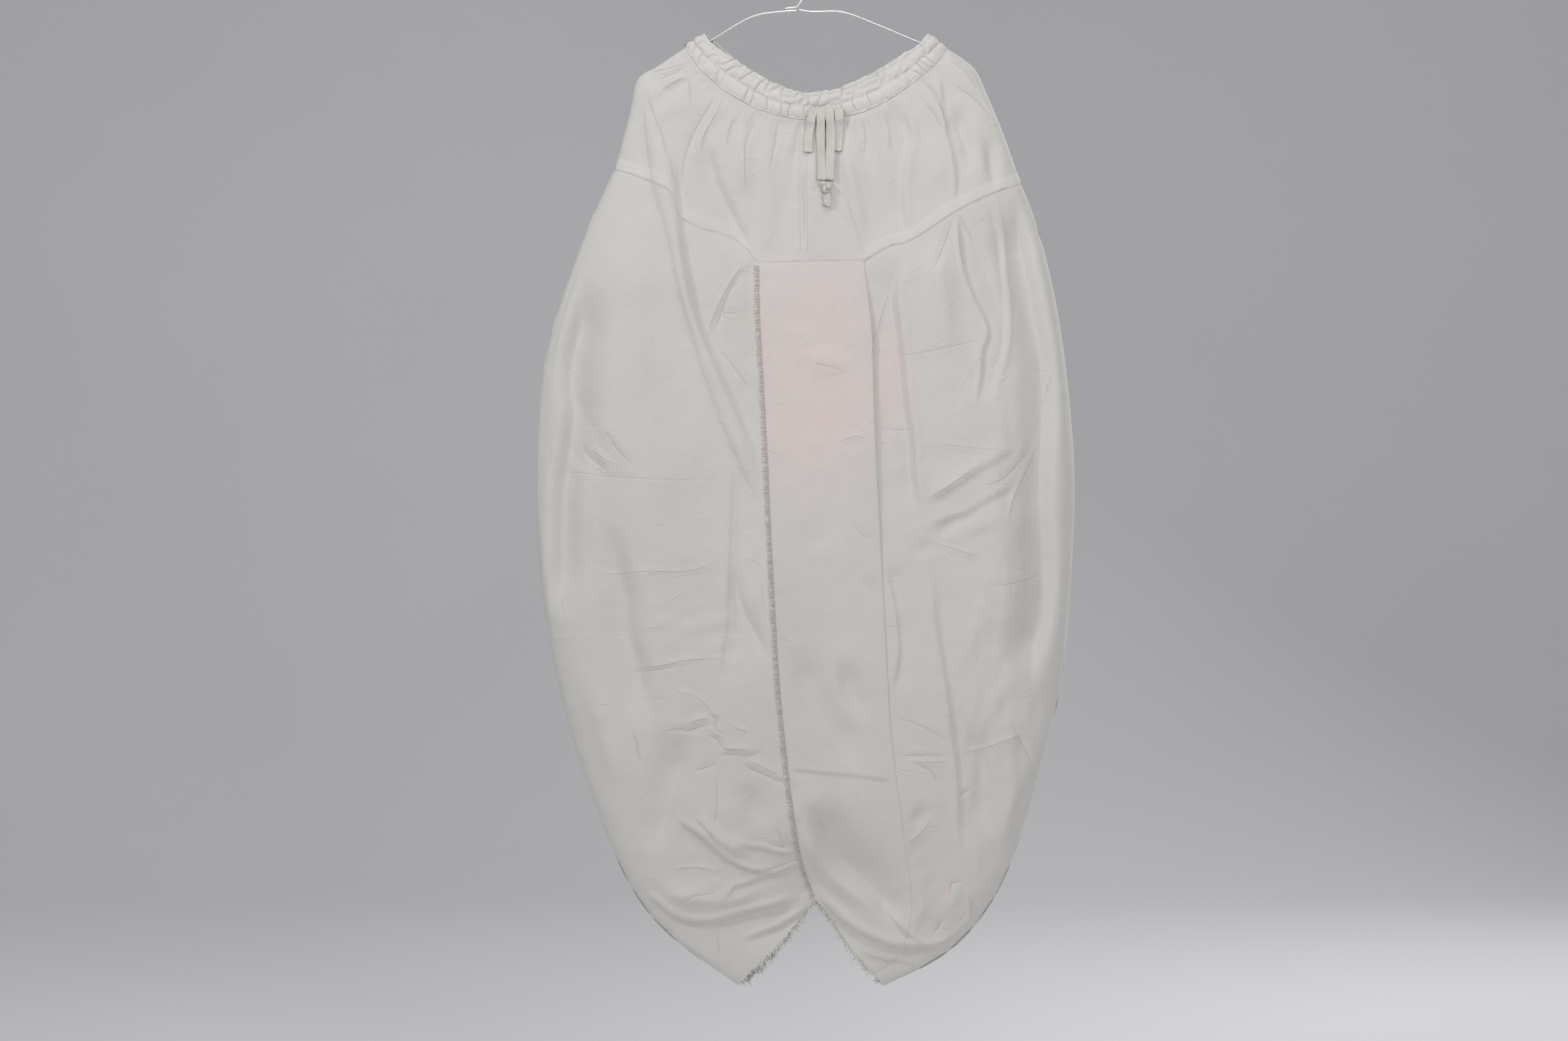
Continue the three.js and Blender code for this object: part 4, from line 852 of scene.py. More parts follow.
def shell(name, grid, thickness, material, ring=False):
    """A closed thin wall whose outer face is a grid of points (columns, rows, 3). Its inner face, which
    hardly shows, has every second point. Also gives the grid point that each mesh point comes from."""
    columns, rows = grid.shape[:2]
    kept_rows = every_second(rows)
    kept_columns = every_second(columns + 1)[:-1] if ring else every_second(columns)
    number = np.arange(columns * rows).reshape(columns, rows)
    kept_numbers = number[kept_columns][:, kept_rows]
    source = np.concatenate([number.ravel(), kept_numbers.ravel()])
    inside = (grid - thickness * grid_normals(grid, ring)).reshape(-1, 3)
    points = np.concatenate([grid.reshape(-1, 3), inside[kept_numbers.ravel()]])
    inner = number.size + np.arange(kept_numbers.size).reshape(kept_numbers.shape)
    if ring:
        kept_columns = np.append(kept_columns, columns)
        number, inner = np.concatenate([number, number[:1]]), np.concatenate([inner, inner[:1]])
    rims = [rim(number[:, 0], inner[:, 0], kept_columns),
            rim(number[:, -1], inner[:, -1], kept_columns)[:, ::-1]]
    if not ring:
        rims += [rim(number[0], inner[0], kept_rows)[:, ::-1],
                 rim(number[-1], inner[-1], kept_rows)]
    obj = mesh_object(name, points, [cells(number), cells(inner)[:, ::-1], *rims], material)
    obj.data.set_sharp_from_angle(angle=math.radians(SHARP_ANGLE))
    store(obj, "cut", "FLOAT_VECTOR", cut_place(grid)[source])
    return obj, source


def cut_place(grid):
    """Each grid point's place on the flat cloth, for the weave, in metres."""
    across = np.linalg.norm(np.diff(grid, axis=0, prepend=grid[:1]), axis=2)
    down = np.linalg.norm(np.diff(grid, axis=1, prepend=grid[:, :1]), axis=2)
    middle = np.broadcast_to(down.mean(0).cumsum(), across.shape)
    return MM * np.stack([across.cumsum(0), middle, 0 * across], axis=2).reshape(-1, 3)


def circle(sides):
    """Places round a circle of radius 1."""
    turn = 2 * np.pi * np.arange(sides) / sides
    return np.stack([np.cos(turn), np.sin(turn)], axis=1)


def strands(name, lines, radius, material, sides=4):
    """Many thin threads as one mesh. Each line is an array of points in millimetres."""
    section = circle(sides)[None]
    points, faces, base = [], [], 0
    for line in lines:
        line = np.asarray(line, float)
        tangent = unit(np.gradient(line, axis=0))
        first = unit(np.cross(tangent, (0.21, 0.93, 0.3)))
        second = np.cross(tangent, first)
        taper = np.ones(len(line))
        taper[[0, -1]] = 0.45
        ring = section[..., :1] * first[:, None] + section[..., 1:] * second[:, None]
        points.append((line[:, None] + radius * taper[:, None, None] * ring).reshape(-1, 3))
        number = base + np.arange(len(line) * sides).reshape(len(line), sides)
        beside = np.roll(number, -1, axis=1)
        faces.append(np.stack([number[:-1], beside[:-1], beside[1:], number[1:]], axis=-1).reshape(-1, 4))
        if sides == 4:
            faces.append(np.stack([number[0, ::-1], number[-1]]))
        base += len(line) * sides
    return mesh_object(name, np.concatenate(points), [np.concatenate(faces)], material)


def tube(name, centres, across, out, section, material):
    """A closed tube: each section point is (share of across, share of out) around each centre."""
    section = np.asarray(section, float)
    sides = len(section)
    rings = centres[:, None] + section[None, :, :1] * across[:, None] + section[None, :, 1:] * out[:, None]
    number = np.arange(len(centres) * sides).reshape(len(centres), sides)
    beside = np.roll(number, -1, axis=1)
    faces = np.stack([number[:-1], number[1:], beside[1:], beside[:-1]], axis=-1).reshape(-1, 4)
    points = np.concatenate([rings.reshape(-1, 3), centres[:1], centres[-1:]])
    tip = np.full((sides, 1), len(points) - 2)
    caps = [np.hstack([number[0, :, None], beside[0, :, None], tip]),
            np.hstack([beside[-1, :, None], number[-1, :, None], tip + 1])]
    return mesh_object(name, points, [faces, *caps], material)


# ---- materials ---------------------------------------------------------------------------------

COTTON = (0.67, 0.652, 0.625, 1)
COTTON_SHADE = (0.60, 0.582, 0.55, 1)
# painted light: this paler colour of double cloth stands in for the light that two thin layers of cotton give
# back
DOUBLE_COTTON_PAINTED_LIGHT = (0.72, 0.70, 0.665, 1)
PINK = (0.80, 0.60, 0.585, 1)
BROWN = (0.52, 0.45, 0.34, 1)
THREAD = (0.82, 0.80, 0.76, 1)
WORN_THREAD = (0.66, 0.61, 0.53, 1)
TAPE_RIB = (0.70, 0.68, 0.635, 1)
# painted shade of the grooves between the tape's ribs
TAPE_RIB_PAINTED_SHADE = (0.63, 0.61, 0.565, 1)
TAPE_DIRT = (0.52, 0.49, 0.43, 1)
BRIGHT_STEEL = (0.92, 0.93, 0.94, 1)
DULL_STEEL = (0.68, 0.68, 0.67, 1)
BACKDROP = (0.82, 0.82, 0.83, 1)
PALE_BACKDROP = (0.86, 0.86, 0.87, 1)

WEAVE_PITCH = 0.00042          # metres from thread to thread
WAVES = 3.2                    # of a wave texture to each unit of length at scale 1


def new_material(name):
    material = bpy.data.materials.new(name)
    material.use_nodes = True
    tree = material.node_tree
    return material, tree, tree.nodes["Principled BSDF"]


def feed(tree, made, inputs):
    """Links each named input of a node from another socket, or sets it to a plain value."""
    for socket, source in inputs:
        if hasattr(source, "is_linked"):
            tree.links.new(source, made.inputs[socket])
        else:
            made.inputs[socket].default_value = source


def node(tree, kind, inputs=(), **properties):
    made = tree.nodes.new(kind)
    for key, value in properties.items():
        setattr(made, key, value)
    feed(tree, made, inputs)
    return made


def mixed(tree, share, first, second):
    """A colour between two others."""
    inputs = [(0, share), (6, first), (7, second)]
    return node(tree, "ShaderNodeMix", inputs, data_type="RGBA").outputs[2]


def combined(tree, operation, *values):
    """The result of one operation on one to three values."""
    return node(tree, "ShaderNodeMath", enumerate(values), operation=operation).outputs[0]


def scaled(tree, value, factor, add=0.0):
    return combined(tree, "MULTIPLY_ADD", value, factor, add)


def kept(tree, name):
    """A number that the mesh keeps for each point."""
    return node(tree, "ShaderNodeAttribute", attribute_name=name).outputs["Fac"]


def object_place(tree):
    return node(tree, "ShaderNodeTexCoord").outputs["Object"]


def mapped(tree, place, **inputs):
    """A place stretched or turned."""
    return node(tree, "ShaderNodeMapping", [("Vector", place), *inputs.items()]).outputs[0]


def cloudy(tree, place, scale, detail, **inputs):
    """Smooth noise."""
    fixed = [("Vector", place), ("Scale", scale), ("Detail", detail)]
    return node(tree, "ShaderNodeTexNoise", [*fixed, *inputs.items()]).outputs["Fac"]


def waves(tree, place, scale, distortion, detail, direction="X"):
    """Straight waves that follow each other in one direction."""
    inputs = [("Vector", place), ("Scale", scale), ("Distortion", distortion), ("Detail", detail)]
    return node(tree, "ShaderNodeTexWave", inputs, bands_direction=direction).outputs["Fac"]


def bumped(tree, height, strength, distance, below=None):
    """The direction of a surface that a height raises, on top of the bumps below."""
    inputs = [("Height", height), ("Strength", strength), ("Distance", distance)]
    if below is not None:
        inputs.append(("Normal", below))
    return node(tree, "ShaderNodeBump", inputs).outputs[0]


def weave_height(tree, cut):
    """Height of a plain weave with uneven threads, from the place on the cut."""
    scale = 1 / WEAVE_PITCH / WAVES
    across, down = (waves(tree, cut, scale, 1.2, 1.0, direction) for direction in ("X", "Y"))
    return combined(tree, "MULTIPLY", across, down)


def slubs(tree, cut, stretch):
    """Thick and thin stretches of yarn, long in one direction."""
    return cloudy(tree, mapped(tree, cut, Scale=stretch), 1.0, 3.0, Roughness=0.6)


def pressed_lines(tree):
    """The crisp line of each crease, from its distance in millimetres that the mesh keeps."""
    distance = combined(tree, "ABSOLUTE", kept(tree, "crease_away"))
    near = combined(tree, "MAXIMUM", scaled(tree, distance, -0.8, 1.0), 0.0)
    return combined(tree, "MULTIPLY", near, kept(tree, "crease_pressed"))


def hair_creases(tree, cut, scale, stretch):
    """Hair-thin broken crease lines: the narrow ridge where a warped noise crosses its middle."""
    field = cloudy(tree, mapped(tree, cut, Scale=stretch), scale, 1.5, Distortion=0.6)
    away = combined(tree, "ABSOLUTE", scaled(tree, field, 1.0, -0.5))
    ridge = combined(tree, "MAXIMUM", scaled(tree, away, -70.0, 1.0), 0.0)
    spots = scaled(tree, cloudy(tree, cut, 1.6 * scale, 2.0), 5.0, -2.6)
    return combined(tree, "MULTIPLY", ridge, combined(tree, "MAXIMUM", spots, 0.0))


def cotton_colour(tree, cut, yarn):
    """Patchy white, painted paler as light where the cloth is double, with its stains and its uneven yarn."""
    patches, blotches = cloudy(tree, cut, 9.0, 5.0), cloudy(tree, cut, 40.0, 4.0)
    colour = mixed(tree, scaled(tree, patches, 1.1, -0.2), COTTON, COTTON_SHADE)
    # painted light: double cloth is drawn paler, in place of the light that thin double cotton gives back
    colour = mixed(tree, kept(tree, "painted_light_of_double"), colour, DOUBLE_COTTON_PAINTED_LIGHT)
    for name, add, stain in (("pink", 0.5, PINK), ("brown", -0.05, BROWN)):
        share = combined(tree, "MULTIPLY", kept(tree, name), scaled(tree, blotches, 0.8, add))
        colour = mixed(tree, share, colour, stain)
    return mixed(tree, scaled(tree, yarn, 0.16, -0.08), colour, COTTON_SHADE)


def cotton_bumps(tree, cut, yarn):
    """From the weave to the pressed creases, each on top of the one before."""
    hairs = combined(tree, "ADD", hair_creases(tree, cut, 16.0, (1, 0.45, 1)),
                     hair_creases(tree, cut, 22.0, (0.4, 1, 1)))
    crinkle = cloudy(tree, cut, 210.0, 6.0, Roughness=0.62)
    raised = bumped(tree, weave_height(tree, cut), 0.25, 0.0001)
    raised = bumped(tree, yarn, 0.35, 0.00018, raised)
    raised = bumped(tree, crinkle, 0.35, 0.0006, raised)
    raised = bumped(tree, hairs, 0.5, 0.0010, raised)
    return bumped(tree, pressed_lines(tree), 0.7, 0.0008, raised)


def cotton_material():
    material, tree, shader = new_material("cotton")
    cut = node(tree, "ShaderNodeAttribute", attribute_name="cut").outputs["Vector"]
    warp, weft = slubs(tree, cut, (900, 35, 1)), slubs(tree, cut, (35, 900, 1))
    yarn = combined(tree, "ADD", warp, weft)
    feed(tree, shader, [
        ("Base Color", cotton_colour(tree, cut, yarn)),
        ("Roughness", scaled(tree, warp, 0.15, 0.80)),
        ("Sheen Weight", 0.18),
        ("Sheen Roughness", 0.45),
        ("Specular IOR Level", 0.25),
        ("Normal", cotton_bumps(tree, cut, yarn)),
    ])
    return material


def thread_material(name, colour):
    """Loose or sewn cotton thread: matt, with its twist in the bump."""
    material, tree, shader = new_material(name)
    uneven = cloudy(tree, object_place(tree), 900.0, 2.0)
    dark = tuple(0.8 * c for c in colour[:3]) + (1,)
    feed(tree, shader, [
        ("Base Color", mixed(tree, uneven, colour, dark)),
        ("Roughness", 0.9),
        ("Sheen Weight", 0.2),
        ("Normal", bumped(tree, uneven, 0.5, 0.0001)),
    ])
    return material


def tape_material():
    """Woven cotton tape, with slanting ribs whose darker tone is painted shade, and a little dirt."""
    material, tree, shader = new_material("tape")
    place = object_place(tree)
    ribs = waves(tree, mapped(tree, place, Rotation=(0, 0.9, 0)), 260.0, 1.5, 2.0)
    dirt = cloudy(tree, place, 120.0, 5.0)
    # painted shade: the darker tone along the rib waves stands in for shade in the ribs' grooves
    ribs_with_painted_shade = mixed(tree, scaled(tree, ribs, 0.5), TAPE_RIB, TAPE_RIB_PAINTED_SHADE)
    feed(tree, shader, [
        ("Base Color", mixed(tree, scaled(tree, dirt, 0.8, -0.2), ribs_with_painted_shade, TAPE_DIRT)),
        ("Roughness", scaled(tree, dirt, 0.1, 0.85)),
        ("Sheen Weight", 0.25),
        ("Normal", bumped(tree, ribs, 0.6, 0.0004)),
    ])
    return material


def wire_material():
    """Bright drawn steel wire with fine scratches along it and dull spots."""
    material, tree, shader = new_material("wire")
    place = object_place(tree)
    scratches = cloudy(tree, mapped(tree, place, Scale=(60, 2500, 900)), 1.0, 4.0)
    spots = cloudy(tree, place, 180.0, 5.0)
    feed(tree, shader, [
        ("Base Color", mixed(tree, scaled(tree, spots, 0.7), BRIGHT_STEEL, DULL_STEEL)),
        ("Roughness", scaled(tree, spots, 0.3, 0.24)),
        ("Metallic", 1.0),
        ("Normal", bumped(tree, scratches, 0.3, 0.0002)),
    ])
    return material


def backdrop_material():
    material, tree, shader = new_material("backdrop")
    soft = cloudy(tree, object_place(tree), 1.5, 2.0)
    feed(tree, shader, [
        ("Base Color", mixed(tree, soft, BACKDROP, PALE_BACKDROP)),
        ("Roughness", 0.9),
    ])
    return material


# ---- camera, lights and backdrop ---------------------------------------------------------------

PIXEL = 0.74 * MM              # of the camera's frame, at the garment
FRAME_PIXELS = 2361            # across that frame
CAMERA_DISTANCE = 3.0          # metres in front of the garment
SENSOR = 36.0
FRAME_CENTRE = (-0.0241, -0.6448)


def make_camera():
    data = bpy.data.cameras.new("camera")
    data.sensor_width = SENSOR
    data.lens = CAMERA_DISTANCE * SENSOR / (FRAME_PIXELS * PIXEL)
    camera = bpy.data.objects.new("camera", data)
    camera.location = (FRAME_CENTRE[0], -CAMERA_DISTANCE, FRAME_CENTRE[1])
    camera.rotation_euler = (math.pi / 2, 0, 0)
    bpy.context.scene.collection.objects.link(camera)
    bpy.context.scene.camera = camera


Lamp = namedtuple("Lamp", "name power size place aim")
LAMPS = [
    Lamp("left", 21, 0.45, (-2.1, -1.7, 0.9), (0.0, 0, -0.62)),
    Lamp("front", 8, 0.4, (0.4, -1.7, 0.1), (0.0, 0, -0.5)),
    Lamp("right", 4, 0.8, (1.6, -2.2, 0.8), (0.0, 0, -0.62)),
    Lamp("top", 8, 0.6, (0.0, -0.9, 1.3), (0.0, 0, -0.5)),
    Lamp("back", 33, 0.6, (2.0, 1.7, 0.8), (0.0, 0, -0.6)),
]


def make_lights():
    for lamp in LAMPS:
        data = bpy.data.lights.new(lamp.name, "AREA")
        data.energy = lamp.power
        data.size = lamp.size
        light = bpy.data.objects.new(lamp.name, data)
        light.location = lamp.place
        direction = np.subtract(lamp.aim, lamp.place)
        light.rotation_euler = (
            math.atan2(math.hypot(*direction[:2]), -direction[2]), 0,
            math.atan2(direction[0], -direction[1]) + math.pi)
        bpy.context.scene.collection.objects.link(light)


def make_world():
    """Even pale light from all round."""
    world = bpy.data.worlds.new("studio")
    world.use_nodes = True
    background = world.node_tree.nodes["Background"]
    background.inputs["Color"].default_value = (0.97, 0.98, 1.0, 1)
    background.inputs["Strength"].default_value = 0.31
    bpy.context.scene.world = world


def make_backdrop(material):
    """A pale floor that curves up into a wall far behind the garment."""
    floor, front, wall, top, bend, half = -1450, -6000, 4300, 4600, 1600, 6500
    profile = [(front, floor), (wall - bend, floor)]
    profile += [(wall - bend + bend * math.sin(a), floor + bend * (1 - math.cos(a)))
                for a in np.linspace(0, math.pi / 2, 24)[1:]]
    profile.append((wall, top))
    points = [(x, y, z) for x in (-half, half) for y, z in profile]
    count = len(profile)
    faces = [(k, k + count, k + 1 + count, k + 1) for k in range(count - 1)]
    backdrop = mesh_object("backdrop", points, [faces], material)


# ---- each piece on the body, in place of its solid ---------------------------------------------

def assign(piece, solid=None):
    """Lets a piece ride on the body, and hides the solid that it stands for."""
    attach(piece, "root")
    if solid:
        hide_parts(solid)


# ---- the sewn pieces ---------------------------------------------------------------------------

def patch(head, foot, start, end):
    """A Coons patch between four curves: start and end run down, head and foot run across."""
    def at(u, v):
        u, v = np.meshgrid(u, v, indexing="ij")
        w, t = u[..., None], v[..., None]
        across = head(u) * (1 - t) + foot(u) * t
        down = start(v) * (1 - w) + end(v) * w
        upper = head(0.0) * (1 - w) + head(1.0) * w
        lower = foot(0.0) * (1 - w) + foot(1.0) * w
        return across + down - (upper * (1 - t) + lower * t)
    return at


def two(first, second, share):
    """Two curves one after the other; the first takes the given share."""
    def at(t):
        t = np.asarray(t, float)
        early = first(t / share)
        late = second((t - share) / (1 - share))
        return np.where((t < share)[..., None], early, late)
    return at


def crowded(count, power):
    """Shares from 0 to 1, closer together near 0."""
    return np.linspace(0, 1, count + 1) ** power


def rows_of(count, closer):
    """Shares from 0 to 1, closer together near 1."""
    share = np.linspace(0, 1, count + 1)
    return share + closer * np.sin(np.pi * share)


def tucked_head(flat, extra, tuck, inward):
    """Adds a hidden margin: the grid's first row again, moved up under the neighbour and in."""
    moved = flat[:, :1] + np.array([0, tuck])
    lowered = [np.full((len(flat), 1), -inward), extra[:, :1] - 0.5 * inward, extra[:, 1:]]
    return np.concatenate([moved, flat], axis=1), np.concatenate(lowered, axis=1)


def no_lift(flat):
    return np.zeros(flat.shape[:2])


def side_grid(front, back, front_shares, back_shares, rows, tuck, front_lift=no_lift):
    """Outer points of a piece from its back seam, round the side fold, to its front seam."""
    halves = []
    for at, shares, side, lift_of in ((back, back_shares[1:][::-1], 1, no_lift),
                                      (front, front_shares, -1, front_lift)):
        flat = at(shares, rows)
        flat, extra = tucked_head(flat, lift_of(flat), tuck, TUCK_IN)
        points = cloth_at(flat[..., 0], flat[..., 1], side, extra.ravel())
        halves.append(points.reshape(*flat.shape[:2], 3))
    return np.concatenate(halves)


# How far the strip beside the panel lies behind the panel's folded right edge, by height.
StripDepth = namedtuple("StripDepth", "z behind")
STRIP_DEPTHS = [
    StripDepth(-350, 0.4), StripDepth(-385, 2.0), StripDepth(-440, 5.2), StripDepth(-560, 4.8),
    StripDepth(-640, 3.0), StripDepth(-700, 1.2), StripDepth(-1000, 0.5), StripDepth(-1150, 0.4),
]


def strip_under_panel(flat):
    """How far the leg is pushed in beside the panel, as a negative lift."""
    x, z = flat[..., 0].ravel(), flat[..., 1].ravel()
    near = nearest(PANEL_EDGE, x, z)
    behind = np.interp(-z, [-row.z for row in STRIP_DEPTHS], [row.behind for row in STRIP_DEPTHS])
    back = behind * np.exp(-((near.distance / 24) ** 2)) * smooth((z + 1160) / 60)
    return -back.reshape(flat.shape[:2])


LEG_PART = 0.76                # share of a yoke's foot in front that its leg is sewn to
CENTRE_SHARE = 0.448           # where the centre front seam meets the panel's head, from the left
YOKE_DOUBLE_PAINTED_LIGHT = 0.6              # how strongly the painted light of double cloth shows above a yoke's foot
BAND_DOUBLE_PAINTED_LIGHT = 0.45             # the same all over the band


def stained(name, stains, x, y, z):
    """How strong a piece's stains are at each place of its front."""
    shade = np.zeros(len(x))
    for stain in stains:
        if stain.node == name:
            spread = ((x - stain.x) / stain.wide) ** 2 + ((z - stain.z) / stain.tall) ** 2
            shade += stain.strength * np.exp(-(spread**1.7)) * (y < 0)
    return np.minimum(shade, 1)


def body_creases(x, y, z):
    """crease_lines for places in front and behind."""
    away, pressed = np.empty(len(x)), np.empty(len(x))
    for side, here in ((-1, y < 0), (1, y >= 0)):
        away[here], pressed[here] = crease_lines(FACES[side].creases, x[here], z[here])
    return away, pressed


def add_cotton(name, grid, material, ring=False, thickness=CLOTH, painted_light_where_double=None, lines=None):
    """A sewn piece with its stains, its crisp creases, and the painted light where it shows double cloth."""
    piece, source = shell(name + "_cloth", grid, thickness, material, ring)
    x, y, z = grid.reshape(-1, 3).T
    store(piece, "pink", "FLOAT", stained(name, PINK_STAINS, x, y, z)[source])
    store(piece, "brown", "FLOAT", stained(name, BROWN_STAINS, x, y, z)[source])
    away, pressed = body_creases(x, y, z) if lines is None else lines
    store(piece, "crease_away", "FLOAT", away[source])
    store(piece, "crease_pressed", "FLOAT", pressed[source])
    # painted light: how much paler the cloth is drawn at each point where it is double
    painted_light_of_double = np.zeros(len(x)) if painted_light_where_double is None else painted_light_where_double(x, y, z)
    store(piece, "painted_light_of_double", "FLOAT", painted_light_of_double[source])
    assign(piece, name)
    return piece


def yoke_double_painted_light(x, y, z):
    """How strongly the band of double cloth above a yoke's foot, where the allowance is turned up behind it,
    is painted paler as light.
    """
    shade = np.zeros(len(x))
    for side, line, here in ((-1, YOKE_FOOT, y < 0), (1, YOKE_FOOT_BACK, y >= 0)):
        near = nearest(line, x[here], z[here])
        shown = seam_shows(x[here], side) * smooth((SEAM_BAND - near.distance) / 1.5)
        shade[here] = YOKE_DOUBLE_PAINTED_LIGHT * shown
    return shade


def make_yokes(cotton):
    c = CURVES
    rows = crowded(90, 1.1)
    front_shares, back_shares = crowded(134, 1.15), crowded(80, 1.2)

    def centre_left(t):
        return c["yoke_foot_centre"](np.asarray(t) * CENTRE_SHARE)

    def centre_right(t):
        return c["yoke_foot_centre"](1 - np.asarray(t) * (1 - CENTRE_SHARE))

    left = side_grid(
        patch(c["band_foot_left"], two(c["yoke_foot_left"], centre_left, LEG_PART),
              c["side_yoke_left"], c["centre_front"]),
        patch(c["band_foot_left"], c["yoke_foot_back_left"], c["side_yoke_left"], c["centre_back"]),
        front_shares, back_shares, rows, YOKE_TUCK)
    right = side_grid(
        patch(c["band_foot_right"].back, two(c["yoke_foot_right"].back, centre_right, LEG_PART),
              c["side_yoke_right"], c["centre_front"]),
        patch(c["band_foot_right"].back, c["yoke_foot_back_right"].back, c["side_yoke_right"],
              c["centre_back"]),
        front_shares, back_shares, rows, YOKE_TUCK)[::-1]
    for name, grid in (("yoke_left", left), ("yoke_right", right)):
        piece = add_cotton(name, grid, cotton, painted_light_where_double=yoke_double_painted_light)


def make_legs(cotton):
    c = CURVES
    rows = rows_of(318, 0.15)
    front_shares, back_shares = crowded(160, 1.15), crowded(72, 1.2)
    left = side_grid(
        patch(c["yoke_foot_left"], c["hem_left_front"], c["side_leg_left"], c["crotch_front"]),
        patch(c["yoke_foot_back_left"], c["hem_left_back"], c["side_leg_left"], c["crotch_back"]),
        front_shares, back_shares, rows, SEAM_TUCK)
    right = side_grid(
        patch(c["yoke_foot_right"].back, c["hem_leg_right"].back, c["side_leg_right"],
              c["panel_right"]),
        patch(c["yoke_foot_back_right"].back, c["hem_right_back"].back, c["side_leg_right"],
              c["crotch_back"]),
        front_shares, back_shares, rows, SEAM_TUCK, front_lift=strip_under_panel)[::-1]
    under_panel = right[:1] + np.array([-UNDER_PANEL, TUCK_IN, 0])
    right = np.concatenate([under_panel, right])
    for name, grid, width in (("leg_left", left, 0.53), ("leg_right", right, 0.50)):
        piece = add_cotton(name, grid, cotton)


# The panel's raw allowance: shares of its width from the seam, and how high it lies there.
RawStep = namedtuple("RawStep", "share lift")
RAW_STEPS = [RawStep(1, 1.1), RawStep(0.6, 1.5), RawStep(0.25, 1.2)]

# How the panel's right edge turns under: places to the right of it and behind it.
Turn = namedtuple("Turn", "across behind")
PANEL_TURN = [Turn(0.5, 0.8), Turn(0.2, 2.2), Turn(-1.2, 2.9)]


def raw_allowance(edge):
    """Places and heights of the ragged strip to the left of the panel's sewn edge."""
    z = edge[:, 1]
    ragged = RAW_EDGE + 1.3 * noise(z, 0 * z, 6, RAW_SEED) + 0.9 * noise(z, 0 * z, 2.6, RAW_SEED + 1)
    uneven = 0.3 * noise(z, 0 * z + 9, 6, RAW_SEED + 2)
    places = [edge - np.stack([step.share * ragged, 0 * z], axis=1) for step in RAW_STEPS]
    return np.stack(places), np.stack([step.lift + uneven for step in RAW_STEPS])


def make_panel(cotton):
    """The centre panel, with its raw allowance over the left leg and its right edge turned under."""
    c = CURVES
    rows = rows_of(360, 0.12)
    flat = patch(c["yoke_foot_centre"], c["hem_panel"], c["crotch_front"], c["panel_right"])(
        np.linspace(0, 1, 84), rows)
    from_left = flat[..., 0] - flat[:1, :, 0]
    from_right = flat[-1:, :, 0] - flat[..., 0]
    extra = 0.4 + 0.5 * np.exp(-from_left / 10) - 0.5 * np.exp(-((from_right / 1.6) ** 2))
    allowance, lifts = raw_allowance(flat[0])
    flat, extra = np.concatenate([allowance, flat]), np.concatenate([lifts, extra])
    flat, extra = tucked_head(flat, extra, SEAM_TUCK, PANEL_TUCK_IN)
    points = cloth_at(flat[..., 0], flat[..., 1], -1, extra.ravel()).reshape(*flat.shape[:2], 3)
    turned_under = [points[-1:] + np.array([turn.across, turn.behind, 0]) for turn in PANEL_TURN]
    points = np.concatenate([points, *turned_under])
    piece = add_cotton("centre_panel", points, cotton)


# ---- the waistband -----------------------------------------------------------------------------

BandRow = namedtuple("BandRow", "share swell")
BAND_PROFILE = [
    BandRow(0.00, 0.40), BandRow(0.05, 0.62), BandRow(0.11, 0.66), BandRow(0.16, 0.40),
    BandRow(0.21, 0.72), BandRow(0.29, 0.96), BandRow(0.37, 1.0), BandRow(0.45, 0.86),
    BandRow(0.52, 0.46), BandRow(0.56, 0.14), BandRow(0.60, 0.46), BandRow(0.69, 0.76),
    BandRow(0.79, 0.80), BandRow(0.90, 0.50), BandRow(1.00, 0.22),
]
BAND_STITCHES = (3, 9, 13)     # the rows of BAND_PROFILE that lie between its tiers and at its foot
TIER_BREAK = 0.56              # share of the band's height where its two casings meet
CREVICE_SPREAD = 5.0           # millimetres from a crevice for each unit of the noise that makes it
BAND_TURN = 300                # length of the relaxed band from fold to fold
BAND_THICK = 2.2               # of its two layers
BAND_FOOT_SPLIT = 0.4745       # share of its foot that lies left of its centre front
BAND_COLUMNS = 2 * GATHERS_PER_SIDE * 15   # fifteen for each gather

# Each column's place round the band, 0 to 1 in front and on to 2 behind, and each row's share of
# its height and of its swelling, as a grid of columns and rows.
BAND_TURNS = (2 * np.arange(BAND_COLUMNS) / BAND_COLUMNS)[:, None]
BAND_SHARES = np.array([row.share for row in BAND_PROFILE])[None, :]
BAND_SWELLS = np.array([row.swell for row in BAND_PROFILE])[None, :]


def band_grid():
    """Outer points of the two gathered tiers, round the front and then the back."""
    c = CURVES
    turns = BAND_TURNS[:, 0]
    foot = two(c["band_foot_left"], c["band_foot_right"], BAND_FOOT_SPLIT)
    halves = []
    for side, head in ((-1, "band_top"), (1, "band_top_back")):
        here = turns[turns < 1] if side < 0 else 2 - turns[turns >= 1]
        at = patch(c[head], foot, c["band_fold_left"], c["band_fold_right"])
        flat = at(here, BAND_SHARES[0])
        x, z = flat[..., 0].ravel(), flat[..., 1].ravel()
        depth, normal, _ = body_at(x, z, side)
        base = np.stack([x, side * depth, z], axis=1).reshape(*flat.shape[:2], 3)
        halves.append((base, normal.reshape(base.shape)))
    base = np.concatenate([half[0] for half in halves])
    normal = np.concatenate([half[1] for half in halves])
    return base + raised_band()[..., None] * normal + band_wobble()


